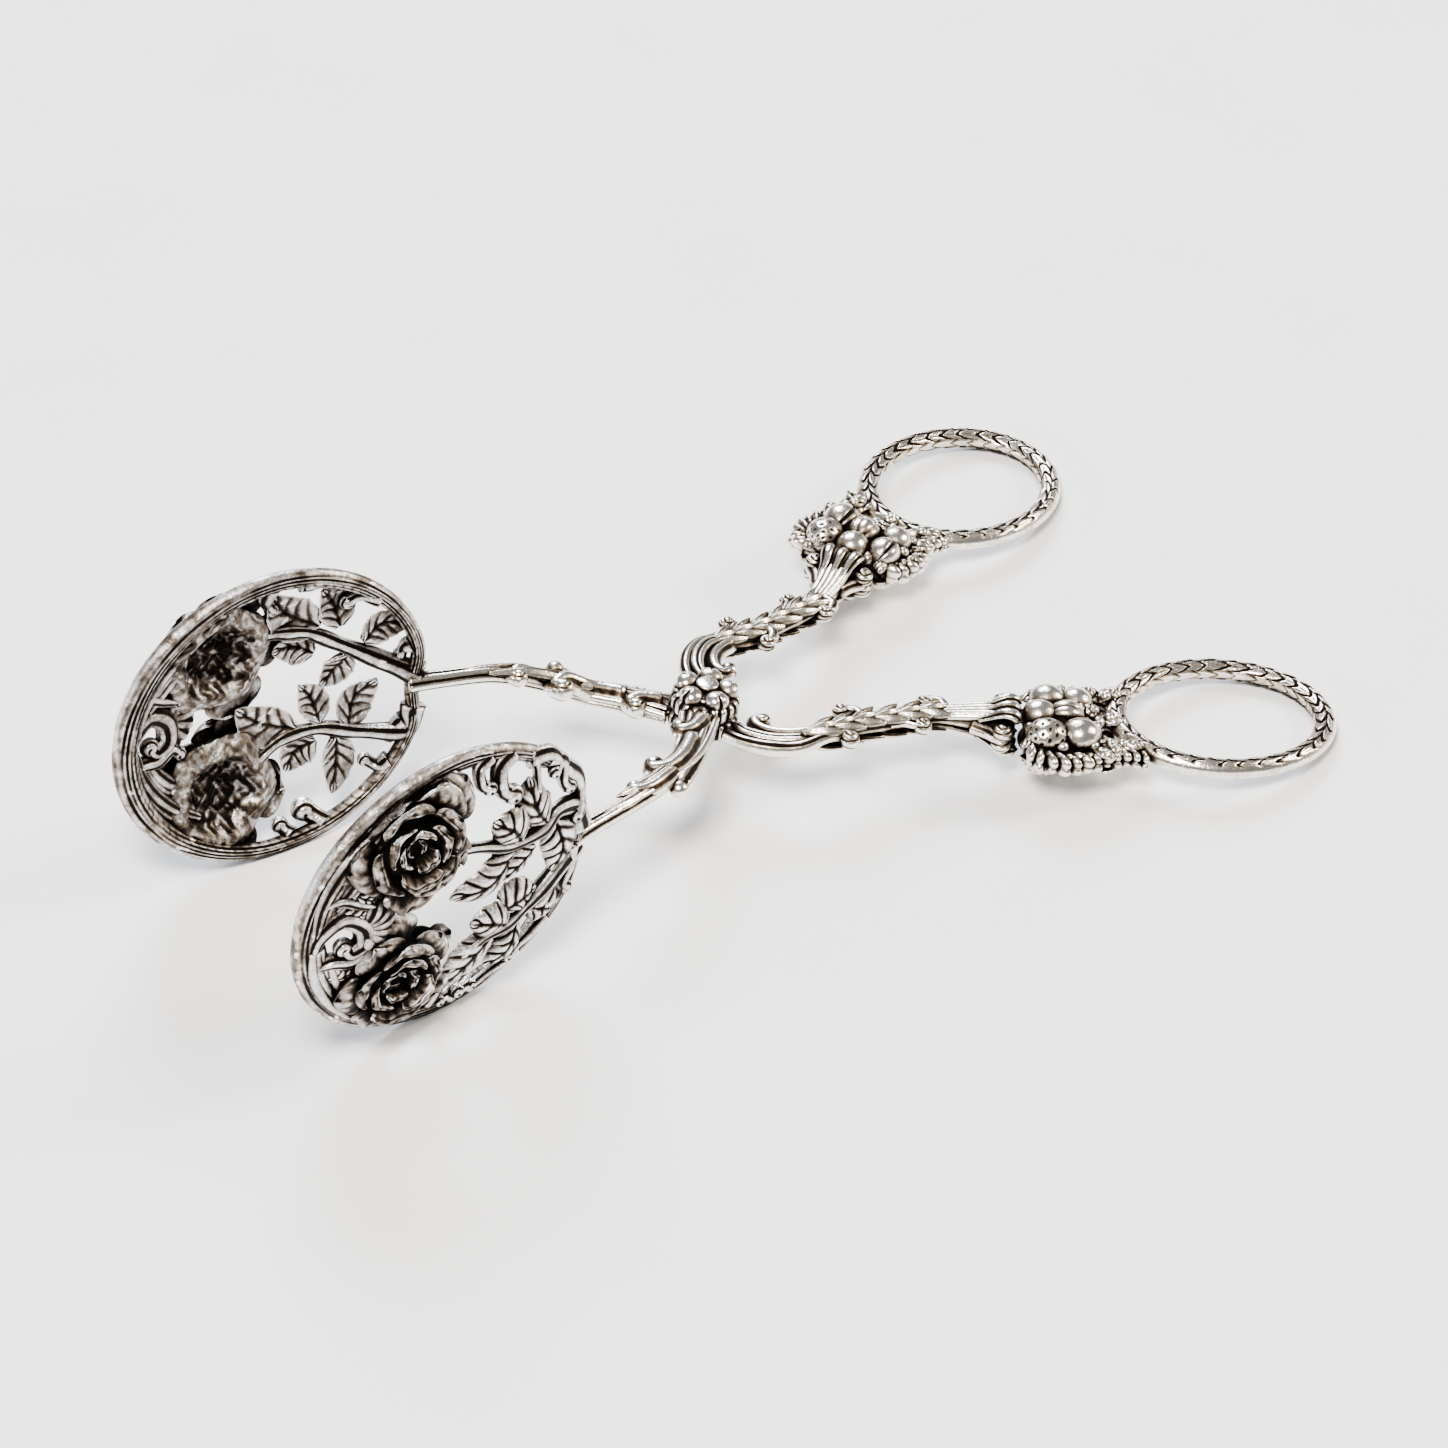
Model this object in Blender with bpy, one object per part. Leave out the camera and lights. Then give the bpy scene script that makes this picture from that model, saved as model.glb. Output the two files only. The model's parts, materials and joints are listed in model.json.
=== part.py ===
"""Scissor-action ice tongs in cast silver, lying on a table.

Two mirror-image arms cross at a rivet. Each arm runs from an oval finger ring, through a
cluster of fruit and a scrolled stem, past the rivet to an openwork jaw of roses and leaves.

Shapes are worked out in millimetres in the tongs' own frame: the rivet's axis is Z, the
handles point to +X, and arm A, the upper one at the rivet, has its ring at +Y and its jaw at
-Y. Arm B is arm A mirrored in Y. Both hang from empties at the rivet, which tip the tongs
so that both jaws and both rings touch the table. The world's origin is the bottom centre of
the whole object's box.
"""
import math

import bmesh
import bpy
import numpy as np
from mathutils import Matrix, Vector

MM = 0.001
GAP = 0.3                      # clearance between neighbouring pieces
TILT = math.radians(8.4)       # how far the rivet's axis leans from upright
WEAR_FLAT = 0.22               # depth of the flat that the table has worn on rings and rims

# Rivet and hubs
HUB_RADIUS = 5.5
HUB_THICKNESS = 3.0
HUB_BORE = 1.75
RIVET_RADIUS = 1.70
RIVET_HEAD_RADIUS = 1.75
RIVET_HEAD_HEIGHT = 1.1
ROSETTE_RADIUS = 4.1
ROSETTE_THICKNESS = 0.9
WASHER_RADIUS = 3.4
WASHER_THICKNESS = 0.6
LAYER = GAP / 2 + HUB_THICKNESS / 2     # height of a hub's middle above or below the seam

# Handles
RING_CENTRE = (77.2, 36.8)
RING_HALF_LENGTH = 17.7
RING_HALF_WIDTH = 14.1
RING_TURN = math.radians(16)
RING_WIRE = 1.55
CLUSTER_CENTRE = (51.6, 28.9)
CLUSTER_TURN = math.radians(31)
CLUSTER_HALF_LENGTH = 7.4
CLUSTER_HALF_WIDTH = 9.0
CLUSTER_HALF_HEIGHT = 2.6
COLLAR_CENTRE = (43.2, 23.9)
COLLAR_TURN = math.radians(125)
COLLAR_HALF_WIDTH = 5.2

# Jaws: an oval plate that stands on edge, with its far end and its top leaning outwards
JAW_X = -66.3
JAW_OFFSET = 24.7
JAW_TOE_OUT = math.radians(3.8)
JAW_LEAN_OUT = math.radians(3.5)
JAW_DOME = 3.4                 # how far the openwork bulges outwards at its middle
RIM_HALF_LENGTH = 26.7
RIM_HALF_HEIGHT = 25.0
RIM_BAND = 1.4                 # half the band's width in the plane of the oval
RIM_DEPTH = 1.6                # half the band's depth across the plate
ROSE_RADIUS = 10.0
ROSE_BACK_RADIUS = 8.4
UPPER_ROSE = (-8.6, 12.2)
LOWER_ROSE = (-7.5, -11.8)
STEM_RADIUS = 1.25
LEAF_THICKNESS = 0.6

SILVER_HIGH = (0.78, 0.76, 0.73, 1.0)
SILVER_DARK = (0.42, 0.38, 0.34, 1.0)


def clear_scene():
    for obj in list(bpy.data.objects):
        bpy.data.objects.remove(obj, do_unlink=True)


def silver(name, colour, roughness):
    material = bpy.data.materials.new(name)
    material.use_nodes = True
    shader = material.node_tree.nodes["Principled BSDF"]
    shader.inputs["Base Color"].default_value = colour
    shader.inputs["Metallic"].default_value = 1.0
    shader.inputs["Roughness"].default_value = roughness
    return material


# ---------------------------------------------------------------- table plane and jaw frame

DOWN = np.array([math.sin(TILT), 0.0, -math.cos(TILT)])


def ring_far_x():
    """Farthest X that the ring's centre line reaches."""
    along = RING_HALF_LENGTH * math.cos(RING_TURN)
    across = RING_HALF_WIDTH * math.sin(RING_TURN)
    return RING_CENTRE[0] + math.hypot(along, across)


TABLE_DEPTH = ring_far_x() * math.sin(TILT) + RING_WIRE - WEAR_FLAT


def jaw_axes():
    """Directions of a jaw plate: towards the handles, outwards, and up."""
    along = np.array([math.cos(JAW_TOE_OUT), math.sin(JAW_TOE_OUT), 0.0])
    level_out = np.array([math.sin(JAW_TOE_OUT), -math.cos(JAW_TOE_OUT), 0.0])
    upright = np.array([0.0, 0.0, 1.0])
    out = level_out * math.cos(JAW_LEAN_OUT) - upright * math.sin(JAW_LEAN_OUT)
    up = upright * math.cos(JAW_LEAN_OUT) + level_out * math.sin(JAW_LEAN_OUT)
    return along, out, up


JAW_ALONG, JAW_OUT, JAW_UP = jaw_axes()


def jaw_height():
    """Height of a jaw's middle that brings its rim down to the table."""
    reach = math.hypot((RIM_HALF_LENGTH + RIM_BAND) * (JAW_ALONG @ DOWN),
                       (RIM_HALF_HEIGHT + RIM_BAND) * (JAW_UP @ DOWN))
    return (JAW_X * math.sin(TILT) + reach - TABLE_DEPTH - WEAR_FLAT) / math.cos(TILT)


JAW_CENTRE = np.array([JAW_X, -JAW_OFFSET, jaw_height()])


def on_jaw(points):
    """Turn jaw coordinates (along, out, up) into the tongs' frame, with the jaw's dome added."""
    points = np.array(np.atleast_2d(points), float)
    reach = (points[:, 0] / RIM_HALF_LENGTH) ** 2 + (points[:, 2] / RIM_HALF_HEIGHT) ** 2
    points[:, 1] += JAW_DOME * np.clip(1 - reach ** 2, 0, 1)
    return JAW_CENTRE + points @ np.array([JAW_ALONG, JAW_OUT, JAW_UP])


# ---------------------------------------------------------------- solids

def smooth_path(points, count):
    """Points of a Catmull-Rom curve through the given ones."""
    knots = np.asarray(points, float)
    ends = np.vstack([2 * knots[0] - knots[1], knots, 2 * knots[-1] - knots[-2]])
    t = np.linspace(0, len(knots) - 1, count)
    i = np.minimum(t.astype(int), len(knots) - 2)
    f = (t - i)[:, None]
    a, b, c, d = ends[i], ends[i + 1], ends[i + 2], ends[i + 3]
    return 0.5 * (2 * b + (c - a) * f + (2 * a - 5 * b + 4 * c - d) * f ** 2
                  + (3 * b - a - 3 * c + d) * f ** 3)


def profile(values, count):
    """Values spread evenly along a path, read off by straight lines between them."""
    return np.interp(np.linspace(0, 1, count), np.linspace(0, 1, len(values)), values)


def sweep_vertices(path, across, upward, up, sides, closed):
    """An ellipse carried along a path: across is level with up's plane, upward along up."""
    if closed:
        tangent = np.roll(path, -1, 0) - np.roll(path, 1, 0)
    else:
        tangent = np.gradient(path, axis=0)
    tangent /= np.linalg.norm(tangent, axis=1)[:, None]
    side = np.cross(np.asarray(up, float), tangent)
    side /= np.linalg.norm(side, axis=1)[:, None]
    top = np.cross(tangent, side)
    angle = np.arange(sides) * 2 * math.pi / sides
    across = np.broadcast_to(across, len(path))[:, None, None]
    upward = np.broadcast_to(upward, len(path))[:, None, None]
    round_side = np.cos(angle)[None, :, None] * side[:, None, :] * across
    round_top = np.sin(angle)[None, :, None] * top[:, None, :] * upward
    return (path[:, None, :] + round_side + round_top).reshape(-1, 3)


def sweep_faces(rings, sides, closed):
    faces = []
    for i in range(rings if closed else rings - 1):
        for j in range(sides):
            k = (j + 1) % sides
            n = (i + 1) % rings
            faces.append((i * sides + j, i * sides + k, n * sides + k, n * sides + j))
    if not closed:
        faces.append(tuple(reversed(range(sides))))
        faces.append(tuple(range((rings - 1) * sides, rings * sides)))
    return faces


def sweep(path, across, upward, up=(0, 0, 1), sides=10, closed=False):
    vertices = sweep_vertices(path, across, upward, up, sides, closed)
    return vertices, sweep_faces(len(path), sides, closed)


def leaf(base, tip, half_width, up, thickness=LEAF_THICKNESS):
    """A leaf blade from base to tip, widest a little before its middle."""
    path = np.linspace(base, tip, 7)
    width = half_width * np.array([0.3, 0.8, 1.0, 0.95, 0.75, 0.45, 0.12])
    thick = thickness * np.array([1.0, 1.0, 1.0, 1.0, 0.9, 0.7, 0.3])
    return sweep(path, width, thick, up, 8)


def ball(centre, radii, turn=0.0, columns=10, rows=6):
    """An ellipsoid turned about Z, with a pole above and below."""
    lift = np.linspace(-math.pi / 2, math.pi / 2, rows + 1)[1:-1]
    around = np.arange(columns) * 2 * math.pi / columns
    lift, around = np.meshgrid(lift, around, indexing="ij")
    local = np.stack([radii[0] * np.cos(lift) * np.cos(around),
                      radii[1] * np.cos(lift) * np.sin(around),
                      radii[2] * np.sin(lift)], -1).reshape(-1, 3)
    local = np.vstack([local, [0, 0, -radii[2]], [0, 0, radii[2]]])
    c, s = math.cos(turn), math.sin(turn)
    points = local @ np.array([[c, s, 0], [-s, c, 0], [0, 0, 1]]) + np.asarray(centre, float)
    faces = sweep_faces(rows - 1, columns, False)[:-2]
    south, north = len(points) - 2, len(points) - 1
    last = (rows - 2) * columns
    for j in range(columns):
        k = (j + 1) % columns
        faces.append((south, k, j))
        faces.append((north, last + j, last + k))
    return points, faces


def turned(outline, columns, scallops=0, depth=0.0):
    """A closed (radius, height) outline turned about Z; an end at radius 0 is a pole."""
    radius, height = np.asarray(outline, float).T
    inner = slice(1, -1) if radius[0] == 0 else slice(None)
    around = np.arange(columns) * 2 * math.pi / columns
    wave = 1 + depth * np.cos(scallops * around)[None, :] * (radius[inner, None] > 3)
    r = radius[inner, None] * wave
    points = np.stack([r * np.cos(around), r * np.sin(around),
                       np.broadcast_to(height[inner, None], r.shape)], -1).reshape(-1, 3)
    rows = r.shape[0]
    if radius[0] != 0:
        return points, sweep_faces(rows, columns, True)
    faces = sweep_faces(rows, columns, False)[:-2]
    points = np.vstack([points, [0, 0, height[0]], [0, 0, height[-1]]])
    first, last = len(points) - 2, len(points) - 1
    for j in range(columns):
        k = (j + 1) % columns
        faces.append((first, k, j))
        faces.append((last, (rows - 1) * columns + j, (rows - 1) * columns + k))
    return points, faces


def add_solid(name, solid, arm, material):
    """One closed mesh object, hung from its arm's empty and mirrored for arm B."""
    points, faces = solid
    points = np.array(points) * MM * np.array([1, arm["side"], 1])
    mesh = bpy.data.meshes.new(name)
    mesh.from_pydata(points.tolist(), [], faces)
    bm = bmesh.new()
    bm.from_mesh(mesh)
    bmesh.ops.recalc_face_normals(bm, faces=bm.faces)
    bm.to_mesh(mesh)
    bm.free()
    mesh.materials.append(material)
    obj = bpy.data.objects.new(name, mesh)
    bpy.context.scene.collection.objects.link(obj)
    obj.parent = arm["empty"]
    return obj


def shade(obj):
    obj.data.shade_smooth()
    obj.data.set_sharp_from_angle(angle=math.radians(40))
    return obj


def fuse(name, solids, arm, material):
    """Union of overlapping solids as one object."""
    body = add_solid(name, solids[0], arm, material)
    for i, solid in enumerate(solids[1:]):
        tool = add_solid(f"{name}_tool_{i}", solid, arm, material)
        modifier = body.modifiers.new("Union", "BOOLEAN")
        modifier.operation = "UNION"
        modifier.solver = "EXACT"
        modifier.object = tool
    bpy.context.view_layer.update()
    joined = bpy.data.meshes.new_from_object(
        body.evaluated_get(bpy.context.evaluated_depsgraph_get()))
    for modifier in list(body.modifiers):
        tool = modifier.object
        body.modifiers.remove(modifier)
        bpy.data.objects.remove(tool, do_unlink=True)
    body.data = joined
    joined.name = name
    return shade(body)


def single(name, solid, arm, material):
    return shade(add_solid(name, solid, arm, material))


def wear_flat(obj):
    """Cut the object off at the table's plane and close the cut with a flat."""
    bm = bmesh.new()
    bm.from_mesh(obj.data)
    geometry = bm.verts[:] + bm.edges[:] + bm.faces[:]
    bmesh.ops.bisect_plane(bm, geom=geometry, plane_co=Vector(DOWN * TABLE_DEPTH * MM),
                           plane_no=Vector(DOWN), clear_outer=True)
    cut = [edge for edge in bm.edges if edge.is_boundary]
    bmesh.ops.edgeloop_fill(bm, edges=cut)
    bmesh.ops.recalc_face_normals(bm, faces=bm.faces)
    bm.to_mesh(obj.data)
    bm.free()
    return shade(obj)


# ---------------------------------------------------------------- pieces of one arm

def hub_eye(arm):
    """Flat eye that the rivet passes through."""
    low = arm["level"] * LAYER - HUB_THICKNESS / 2
    high = low + HUB_THICKNESS
    outline = [(HUB_BORE, low), (HUB_RADIUS - 0.5, low), (HUB_RADIUS, low + 0.5),
               (HUB_RADIUS, high - 0.5), (HUB_RADIUS - 0.5, high), (HUB_BORE, high)]
    single("hub_eye_" + arm["name"], turned(outline, 32), arm, arm["high"])


def jaw_arm(arm):
    """Fluted fan and rod from the hub to the jaw, with scroll balls on its inner side."""
    z = arm["level"] * LAYER
    path = smooth_path([(-4.2, -4.4, z), (-9, -9.6, z), (-14, -13.6, z), (-20, -16.7, (z + 2) / 2),
                        (-28, -19.6, 2.0), (-37.1, -22.4, 2.0)], 16)
    rod = sweep(path, profile([3.9, 3.2, 2.4, 2.1, 1.8, 1.6], 16),
                profile([1.5, 1.6, 1.9, 2.2, 2.0, 1.9], 16))
    balls = [ball((-15.6, -11.0, 0.6 * z), (1.5, 1.5, 1.5)),
             ball((-23.0, -15.4, 1.4), (1.4, 1.4, 1.4))]
    fuse("jaw_arm_" + arm["name"], [rod] + balls, arm, arm["high"])


def handle_stem(arm):
    """Gooseneck from the hub, leafy stem with two pairs of scroll balls, and a trumpet end."""
    z = arm["level"] * LAYER
    path = smooth_path([(3.0, 5.1, z), (3.6, 7.6, z), (5.8, 10.6, 0.9 * z), (9.3, 13.1, 0.6 * z),
                        (13, 14.0, 0.3 * z), (18, 14.0, 0), (24, 15.0, 0), (30, 16.1, 0),
                        (35, 17.9, 0), (41.4, 22.3, 0)], 26)
    stem = sweep(path, profile([1.6, 1.7, 2.0, 2.1, 2.0, 2.1, 2.3, 2.0, 2.1, 4.3], 26),
                 profile([1.4, 1.6, 1.9, 2.1, 2.1, 2.2, 2.3, 2.1, 2.1, 3.2], 26))
    places = [(16.7, 17.2), (19.4, 10.9), (29.9, 19.3), (33.2, 14.4)]
    balls = [ball((x, y, 0.4), (1.7, 1.7, 1.7)) for x, y in places]
    fuse("handle_stem_" + arm["name"], [stem] + balls, arm, arm["high"])


def scroll_collar(arm):
    """Rolled bar across the trumpet's mouth, with a ball scroll at each end."""
    middle = np.array([*COLLAR_CENTRE, 0.0])
    across = np.array([math.cos(COLLAR_TURN), math.sin(COLLAR_TURN), 0.0])
    ends = [middle - across * COLLAR_HALF_WIDTH, middle + across * COLLAR_HALF_WIDTH]
    bar = sweep(np.linspace(*ends, 5), [1.3, 1.4, 1.5, 1.4, 1.3], [2.6, 3.4, 3.7, 3.4, 2.6])
    balls = [ball(end, (1.8, 1.8, 2.2)) for end in ends]
    fuse("scroll_collar_" + arm["name"], [bar] + balls, arm, arm["high"])


def cluster_place(along, across, z):
    c, s = math.cos(CLUSTER_TURN), math.sin(CLUSTER_TURN)
    return (CLUSTER_CENTRE[0] + along * c - across * s,
            CLUSTER_CENTRE[1] + along * s + across * c, z)


def fruit_cluster(arm):
    """Leafy bed that carries strawberry, plum, bud and berries, alike on both faces."""
    bed = ball((*CLUSTER_CENTRE, 0), (CLUSTER_HALF_LENGTH, CLUSTER_HALF_WIDTH,
                                      CLUSTER_HALF_HEIGHT), CLUSTER_TURN, 16, 6)
    fruits = [((-3.2, 4.6), (3.4, 3.4, 4.4)), ((2.2, 4.2), (3.2, 3.2, 4.0)),
              ((-3.0, -3.4), (3.3, 2.9, 4.2)), ((2.2, -2.2), (3.6, 2.9, 4.2)),
              ((3.4, -6.2), (2.6, 2.2, 2.8))]
    balls = [ball(cluster_place(*place, 0), radii, CLUSTER_TURN) for place, radii in fruits]
    fuse("fruit_cluster_" + arm["name"], [bed] + balls, arm, arm["dark"])


def finger_ring(arm):
    """Oval ring of round wire, with a worn flat where it lies on the table."""
    turn = np.arange(36) * 2 * math.pi / 36
    along = RING_HALF_LENGTH * np.cos(turn)
    across = RING_HALF_WIDTH * np.sin(turn)
    c, s = math.cos(RING_TURN), math.sin(RING_TURN)
    path = np.stack([RING_CENTRE[0] + along * c - across * s,
                     RING_CENTRE[1] + along * s + across * c, np.zeros_like(turn)], -1)
    ring = single("finger_ring_" + arm["name"],
                  sweep(path, RING_WIRE, RING_WIRE, sides=10, closed=True), arm, arm["high"])
    wear_flat(ring)


def jaw_rim(arm):
    """Oval band round the jaw, with a worn flat at its foot."""
    turn = np.arange(40) * 2 * math.pi / 40
    oval = np.stack([RIM_HALF_LENGTH * np.cos(turn), np.zeros_like(turn),
                     RIM_HALF_HEIGHT * np.sin(turn)], -1)
    solid = sweep(on_jaw(oval), RIM_BAND, RIM_DEPTH, JAW_OUT, sides=8, closed=True)
    wear_flat(single("jaw_rim_" + arm["name"], solid, arm, arm["high"]))


def rose(arm, name, place):
    """Open rose: hollow at the back, three rings of petals in front, and a deep heart."""
    outline = [(0, 2.0), (4.5, 1.5), (ROSE_BACK_RADIUS - 0.8, -0.8), (ROSE_BACK_RADIUS, 0.4),
               (ROSE_BACK_RADIUS, 2.0), (ROSE_RADIUS, 2.9), (ROSE_RADIUS - 0.5, 4.2),
               (7.4, 3.9), (6.6, 5.8), (5.4, 4.8), (4.4, 6.6), (3.1, 5.6), (2.0, 3.8), (0, 3.4)]
    points, faces = turned(outline, 25, 5, 0.035)
    local = points[:, [0, 2, 1]] + np.array([place[0], 0.0, place[1]])
    single(f"{name}_{arm['name']}", (on_jaw(local), faces), arm, arm["dark"])


def spray(arm, name, stem_points, leaves):
    """Bramble stem with leaves, lying in the plane of the jaw."""
    def lay(point):
        return on_jaw([(point[0], 0.3, point[1])])[0]
    stem = sweep(smooth_path([lay(point) for point in stem_points], 10),
                 STEM_RADIUS, STEM_RADIUS, JAW_OUT, 8)
    blades = [leaf(lay(base), lay(tip), width, JAW_OUT) for base, tip, width in leaves]
    fuse(f"{name}_{arm['name']}", [stem] + blades, arm, arm["dark"])


def jaw_shell(arm):
    """Shell cartouche that fills the jaw's far end, from the rim to between the roses."""
    path = on_jaw([(-24.9, 0.2, 0.8), (-22.5, 0.6, 0.9), (-19, 0.9, 1.0), (-16, 0.9, 0.9),
                   (-13.5, 0.8, 0.6), (-11.8, 0.7, 0.4)])
    solid = sweep(path, [3.0, 5.0, 5.6, 4.6, 3.0, 1.6], [0.8, 1.0, 1.1, 1.1, 1.0, 0.7],
                  JAW_OUT, 12)
    single("jaw_shell_" + arm["name"], solid, arm, arm["dark"])


UPPER_STEM = [(24.3, 2.4), (20.5, 6.4), (13.5, 8.6), (7.0, 10.2), (1.6, 11.3)]
UPPER_LEAVES = [((10.5, 9.0), (5.2, 15.6), 2.6), ((15.0, 8.8), (12.8, 18.4), 2.7),
                ((9.0, 9.2), (-0.6, 3.2), 2.4), ((19.6, 6.6), (16.6, 0.9), 2.4)]
LOWER_STEM = [(24.2, -2.6), (20.5, -7.0), (13.5, -9.0), (7.0, -10.6), (2.4, -12.2)]
LOWER_LEAVES = [((12.0, -8.9), (12.2, -0.4), 2.8), ((8.6, -10.0), (3.2, -3.9), 2.5),
                ((9.6, -10.0), (2.6, -18.6), 2.6), ((14.6, -9.0), (12.6, -16.2), 2.4)]


def build_arm(arm):
    hub_eye(arm)
    jaw_arm(arm)
    handle_stem(arm)
    scroll_collar(arm)
    fruit_cluster(arm)
    finger_ring(arm)
    jaw_rim(arm)
    rose(arm, "upper_rose", UPPER_ROSE)
    rose(arm, "lower_rose", LOWER_ROSE)
    spray(arm, "upper_spray", UPPER_STEM, UPPER_LEAVES)
    spray(arm, "lower_spray", LOWER_STEM, LOWER_LEAVES)
    jaw_shell(arm)


# ---------------------------------------------------------------- rivet

def build_rivet(arm):
    """Rivet through both hubs, with a petalled rosette above and a washer below."""
    top = 2 * LAYER - GAP / 2 + GAP
    seat = top + ROSETTE_THICKNESS + GAP
    foot = -(2 * LAYER - GAP / 2 + GAP)
    rest = foot - WASHER_THICKNESS - GAP
    head = RIVET_HEAD_RADIUS + 0.3
    outline = [(0, rest - 1.0), (2.2, rest - 1.0), (2.6, rest - 0.6), (2.6, rest),
               (RIVET_RADIUS, rest), (RIVET_RADIUS, seat), (head, seat),
               (head, seat + RIVET_HEAD_HEIGHT - 0.3), (RIVET_HEAD_RADIUS, seat + RIVET_HEAD_HEIGHT),
               (0, seat + RIVET_HEAD_HEIGHT)]
    single("pivot_rivet", turned(outline, 24), arm, arm["high"])
    rosette = [(HUB_BORE, top), (ROSETTE_RADIUS, top), (ROSETTE_RADIUS, top + 0.6),
               (ROSETTE_RADIUS - 0.8, top + ROSETTE_THICKNESS), (HUB_BORE, top + ROSETTE_THICKNESS)]
    single("rivet_rosette", turned(rosette, 30, 6, 0.06), arm, arm["high"])
    washer = [(HUB_BORE, foot - WASHER_THICKNESS), (WASHER_RADIUS, foot - WASHER_THICKNESS),
              (WASHER_RADIUS, foot), (HUB_BORE, foot)]
    single("rivet_washer", turned(washer, 24), arm, arm["high"])


# ---------------------------------------------------------------- assembly

def arm_empty(name):
    empty = bpy.data.objects.new(name, None)
    empty.rotation_euler = (0.0, TILT, 0.0)
    bpy.context.scene.collection.objects.link(empty)
    return empty


def seat_on_table(empties):
    """Slide both empties so that the origin is the bottom centre of the whole box."""
    turn = Matrix.Rotation(TILT, 3, "Y")
    corners = []
    for obj in bpy.data.objects:
        if obj.type == "MESH":
            points = np.empty(len(obj.data.vertices) * 3, np.float32)
            obj.data.vertices.foreach_get("co", points)
            corners.append(points.reshape(-1, 3) @ np.array(turn, np.float32).T)
    everything = np.vstack(corners)
    low, high = everything.min(0), everything.max(0)
    for empty in empties:
        empty.location = (-(low[0] + high[0]) / 2, 0.0, -low[2])
    bpy.context.view_layer.update()


def main():
    clear_scene()
    high = silver("cast_silver", SILVER_HIGH, 0.28)
    dark = silver("patinated_silver", SILVER_DARK, 0.42)
    arms = [{"name": "a", "side": 1, "level": 1}, {"name": "b", "side": -1, "level": -1}]
    for arm in arms:
        arm.update(high=high, dark=dark, empty=arm_empty(f"arm_{arm['name']}_pivot"))
        build_arm(arm)
    build_rivet(arms[1])
    seat_on_table([arm["empty"] for arm in arms])


main()
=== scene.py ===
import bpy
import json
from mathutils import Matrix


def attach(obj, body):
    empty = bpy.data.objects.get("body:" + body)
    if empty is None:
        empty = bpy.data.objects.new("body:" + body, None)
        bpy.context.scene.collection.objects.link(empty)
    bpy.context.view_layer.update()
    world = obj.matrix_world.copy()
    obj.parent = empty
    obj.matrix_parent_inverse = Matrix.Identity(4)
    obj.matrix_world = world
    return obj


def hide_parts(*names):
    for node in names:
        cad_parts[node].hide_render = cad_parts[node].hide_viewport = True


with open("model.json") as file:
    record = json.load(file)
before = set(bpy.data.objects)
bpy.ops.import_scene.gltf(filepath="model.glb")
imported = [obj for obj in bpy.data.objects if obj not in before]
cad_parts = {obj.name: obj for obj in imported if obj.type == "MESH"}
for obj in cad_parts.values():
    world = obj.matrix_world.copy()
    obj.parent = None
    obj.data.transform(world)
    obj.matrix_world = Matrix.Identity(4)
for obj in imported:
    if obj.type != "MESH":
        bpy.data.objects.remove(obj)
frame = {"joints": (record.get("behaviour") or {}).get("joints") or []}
"""Oxidised cast-silver ice tongs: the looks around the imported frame.

Every shape is worked out in millimetres in the tongs' own frame, where the rivet's axis is Z,
the handles point to +X and arm A's finger ring lies at +Y, and is then carried to the world by
the rivet's place and lean in the frame's joint. Arm B is arm A mirrored in Y.

Each surface carries an attribute, recess: 0 where polishing reaches, 1 in grooves and folds
that keep their dark silver sulphide.
"""
import json
import math

import bpy
import numpy as np
from mathutils import Matrix, Vector

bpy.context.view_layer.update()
MM = 0.001
JOINT = frame["joints"][0]
PIVOT = np.array(JOINT["pos_m"])
TILT = math.atan2(JOINT["axis"][0], JOINT["axis"][2])
TURN = 2 * math.pi
UP = np.array([0.0, 0.0, 1.0])

# Hubs and rivet; all sizes are in millimetres
LAYER = 1.65                 # a hub's middle above or below the seam between the arms
HUB_RADIUS = 5.5
HUB_THICKNESS = 3.0
HUB_RIDGES = 20              # chased round a hub's side
ROSETTE_SEAT = 3.45          # the rosette's underside, above the seam
WASHER_SEAT = -3.45          # the washer's top

# Jaw plate: middle, toe-out and lean, as in the frame
JAW_MIDDLE = np.array([-66.3, -24.7, 1.33])
JAW_TOE = math.radians(3.8)
JAW_LEAN = math.radians(3.5)
JAW_DOME = 3.4               # how far the openwork bulges outwards at its middle
RIM_HALF_LENGTH = 26.7
RIM_HALF_HEIGHT = 25.0
RIM_EDGE = 1.35              # how far the band stands outside that oval
PETAL_THICKNESS = 0.3
PETAL_LIMIT = 0.99           # a rose's parts stay within these shares of the oval
ROSE_BACK_LIMIT = 0.97

# Finger ring and fruit cluster
RING_CENTRE = np.array([77.2, 36.8])
RING_HALF_LENGTH = 17.7
RING_HALF_WIDTH = 14.1
RING_TURN = math.radians(16)
RING_WIRE = 1.5
RING_LEAVES = 31             # along each of the ranks of leaves round the wire
RING_RANKS = 6
CLUSTER_CENTRE = np.array([51.6, 28.9])
CLUSTER_TURN = math.radians(31)


# -------- frames of reference

def level_axes(angle):
    """Axes turned by an angle about the upright."""
    c, s = math.cos(angle), math.sin(angle)
    return np.array([[c, s, 0], [-s, c, 0], [0, 0, 1.0]])


def leaning(angle):
    """Turn about Y, for rows of points."""
    c, s = math.cos(angle), math.sin(angle)
    return np.array([[c, 0, -s], [0, 1, 0], [s, 0, c]])


def jaw_axes():
    """Directions along the jaw towards the handles, outwards from it, and up it."""
    along = np.array([math.cos(JAW_TOE), math.sin(JAW_TOE), 0.0])
    level = np.array([math.sin(JAW_TOE), -math.cos(JAW_TOE), 0.0])
    out = level * math.cos(JAW_LEAN) - UP * math.sin(JAW_LEAN)
    rise = UP * math.cos(JAW_LEAN) + level * math.sin(JAW_LEAN)
    return np.array([along, out, rise])


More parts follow.
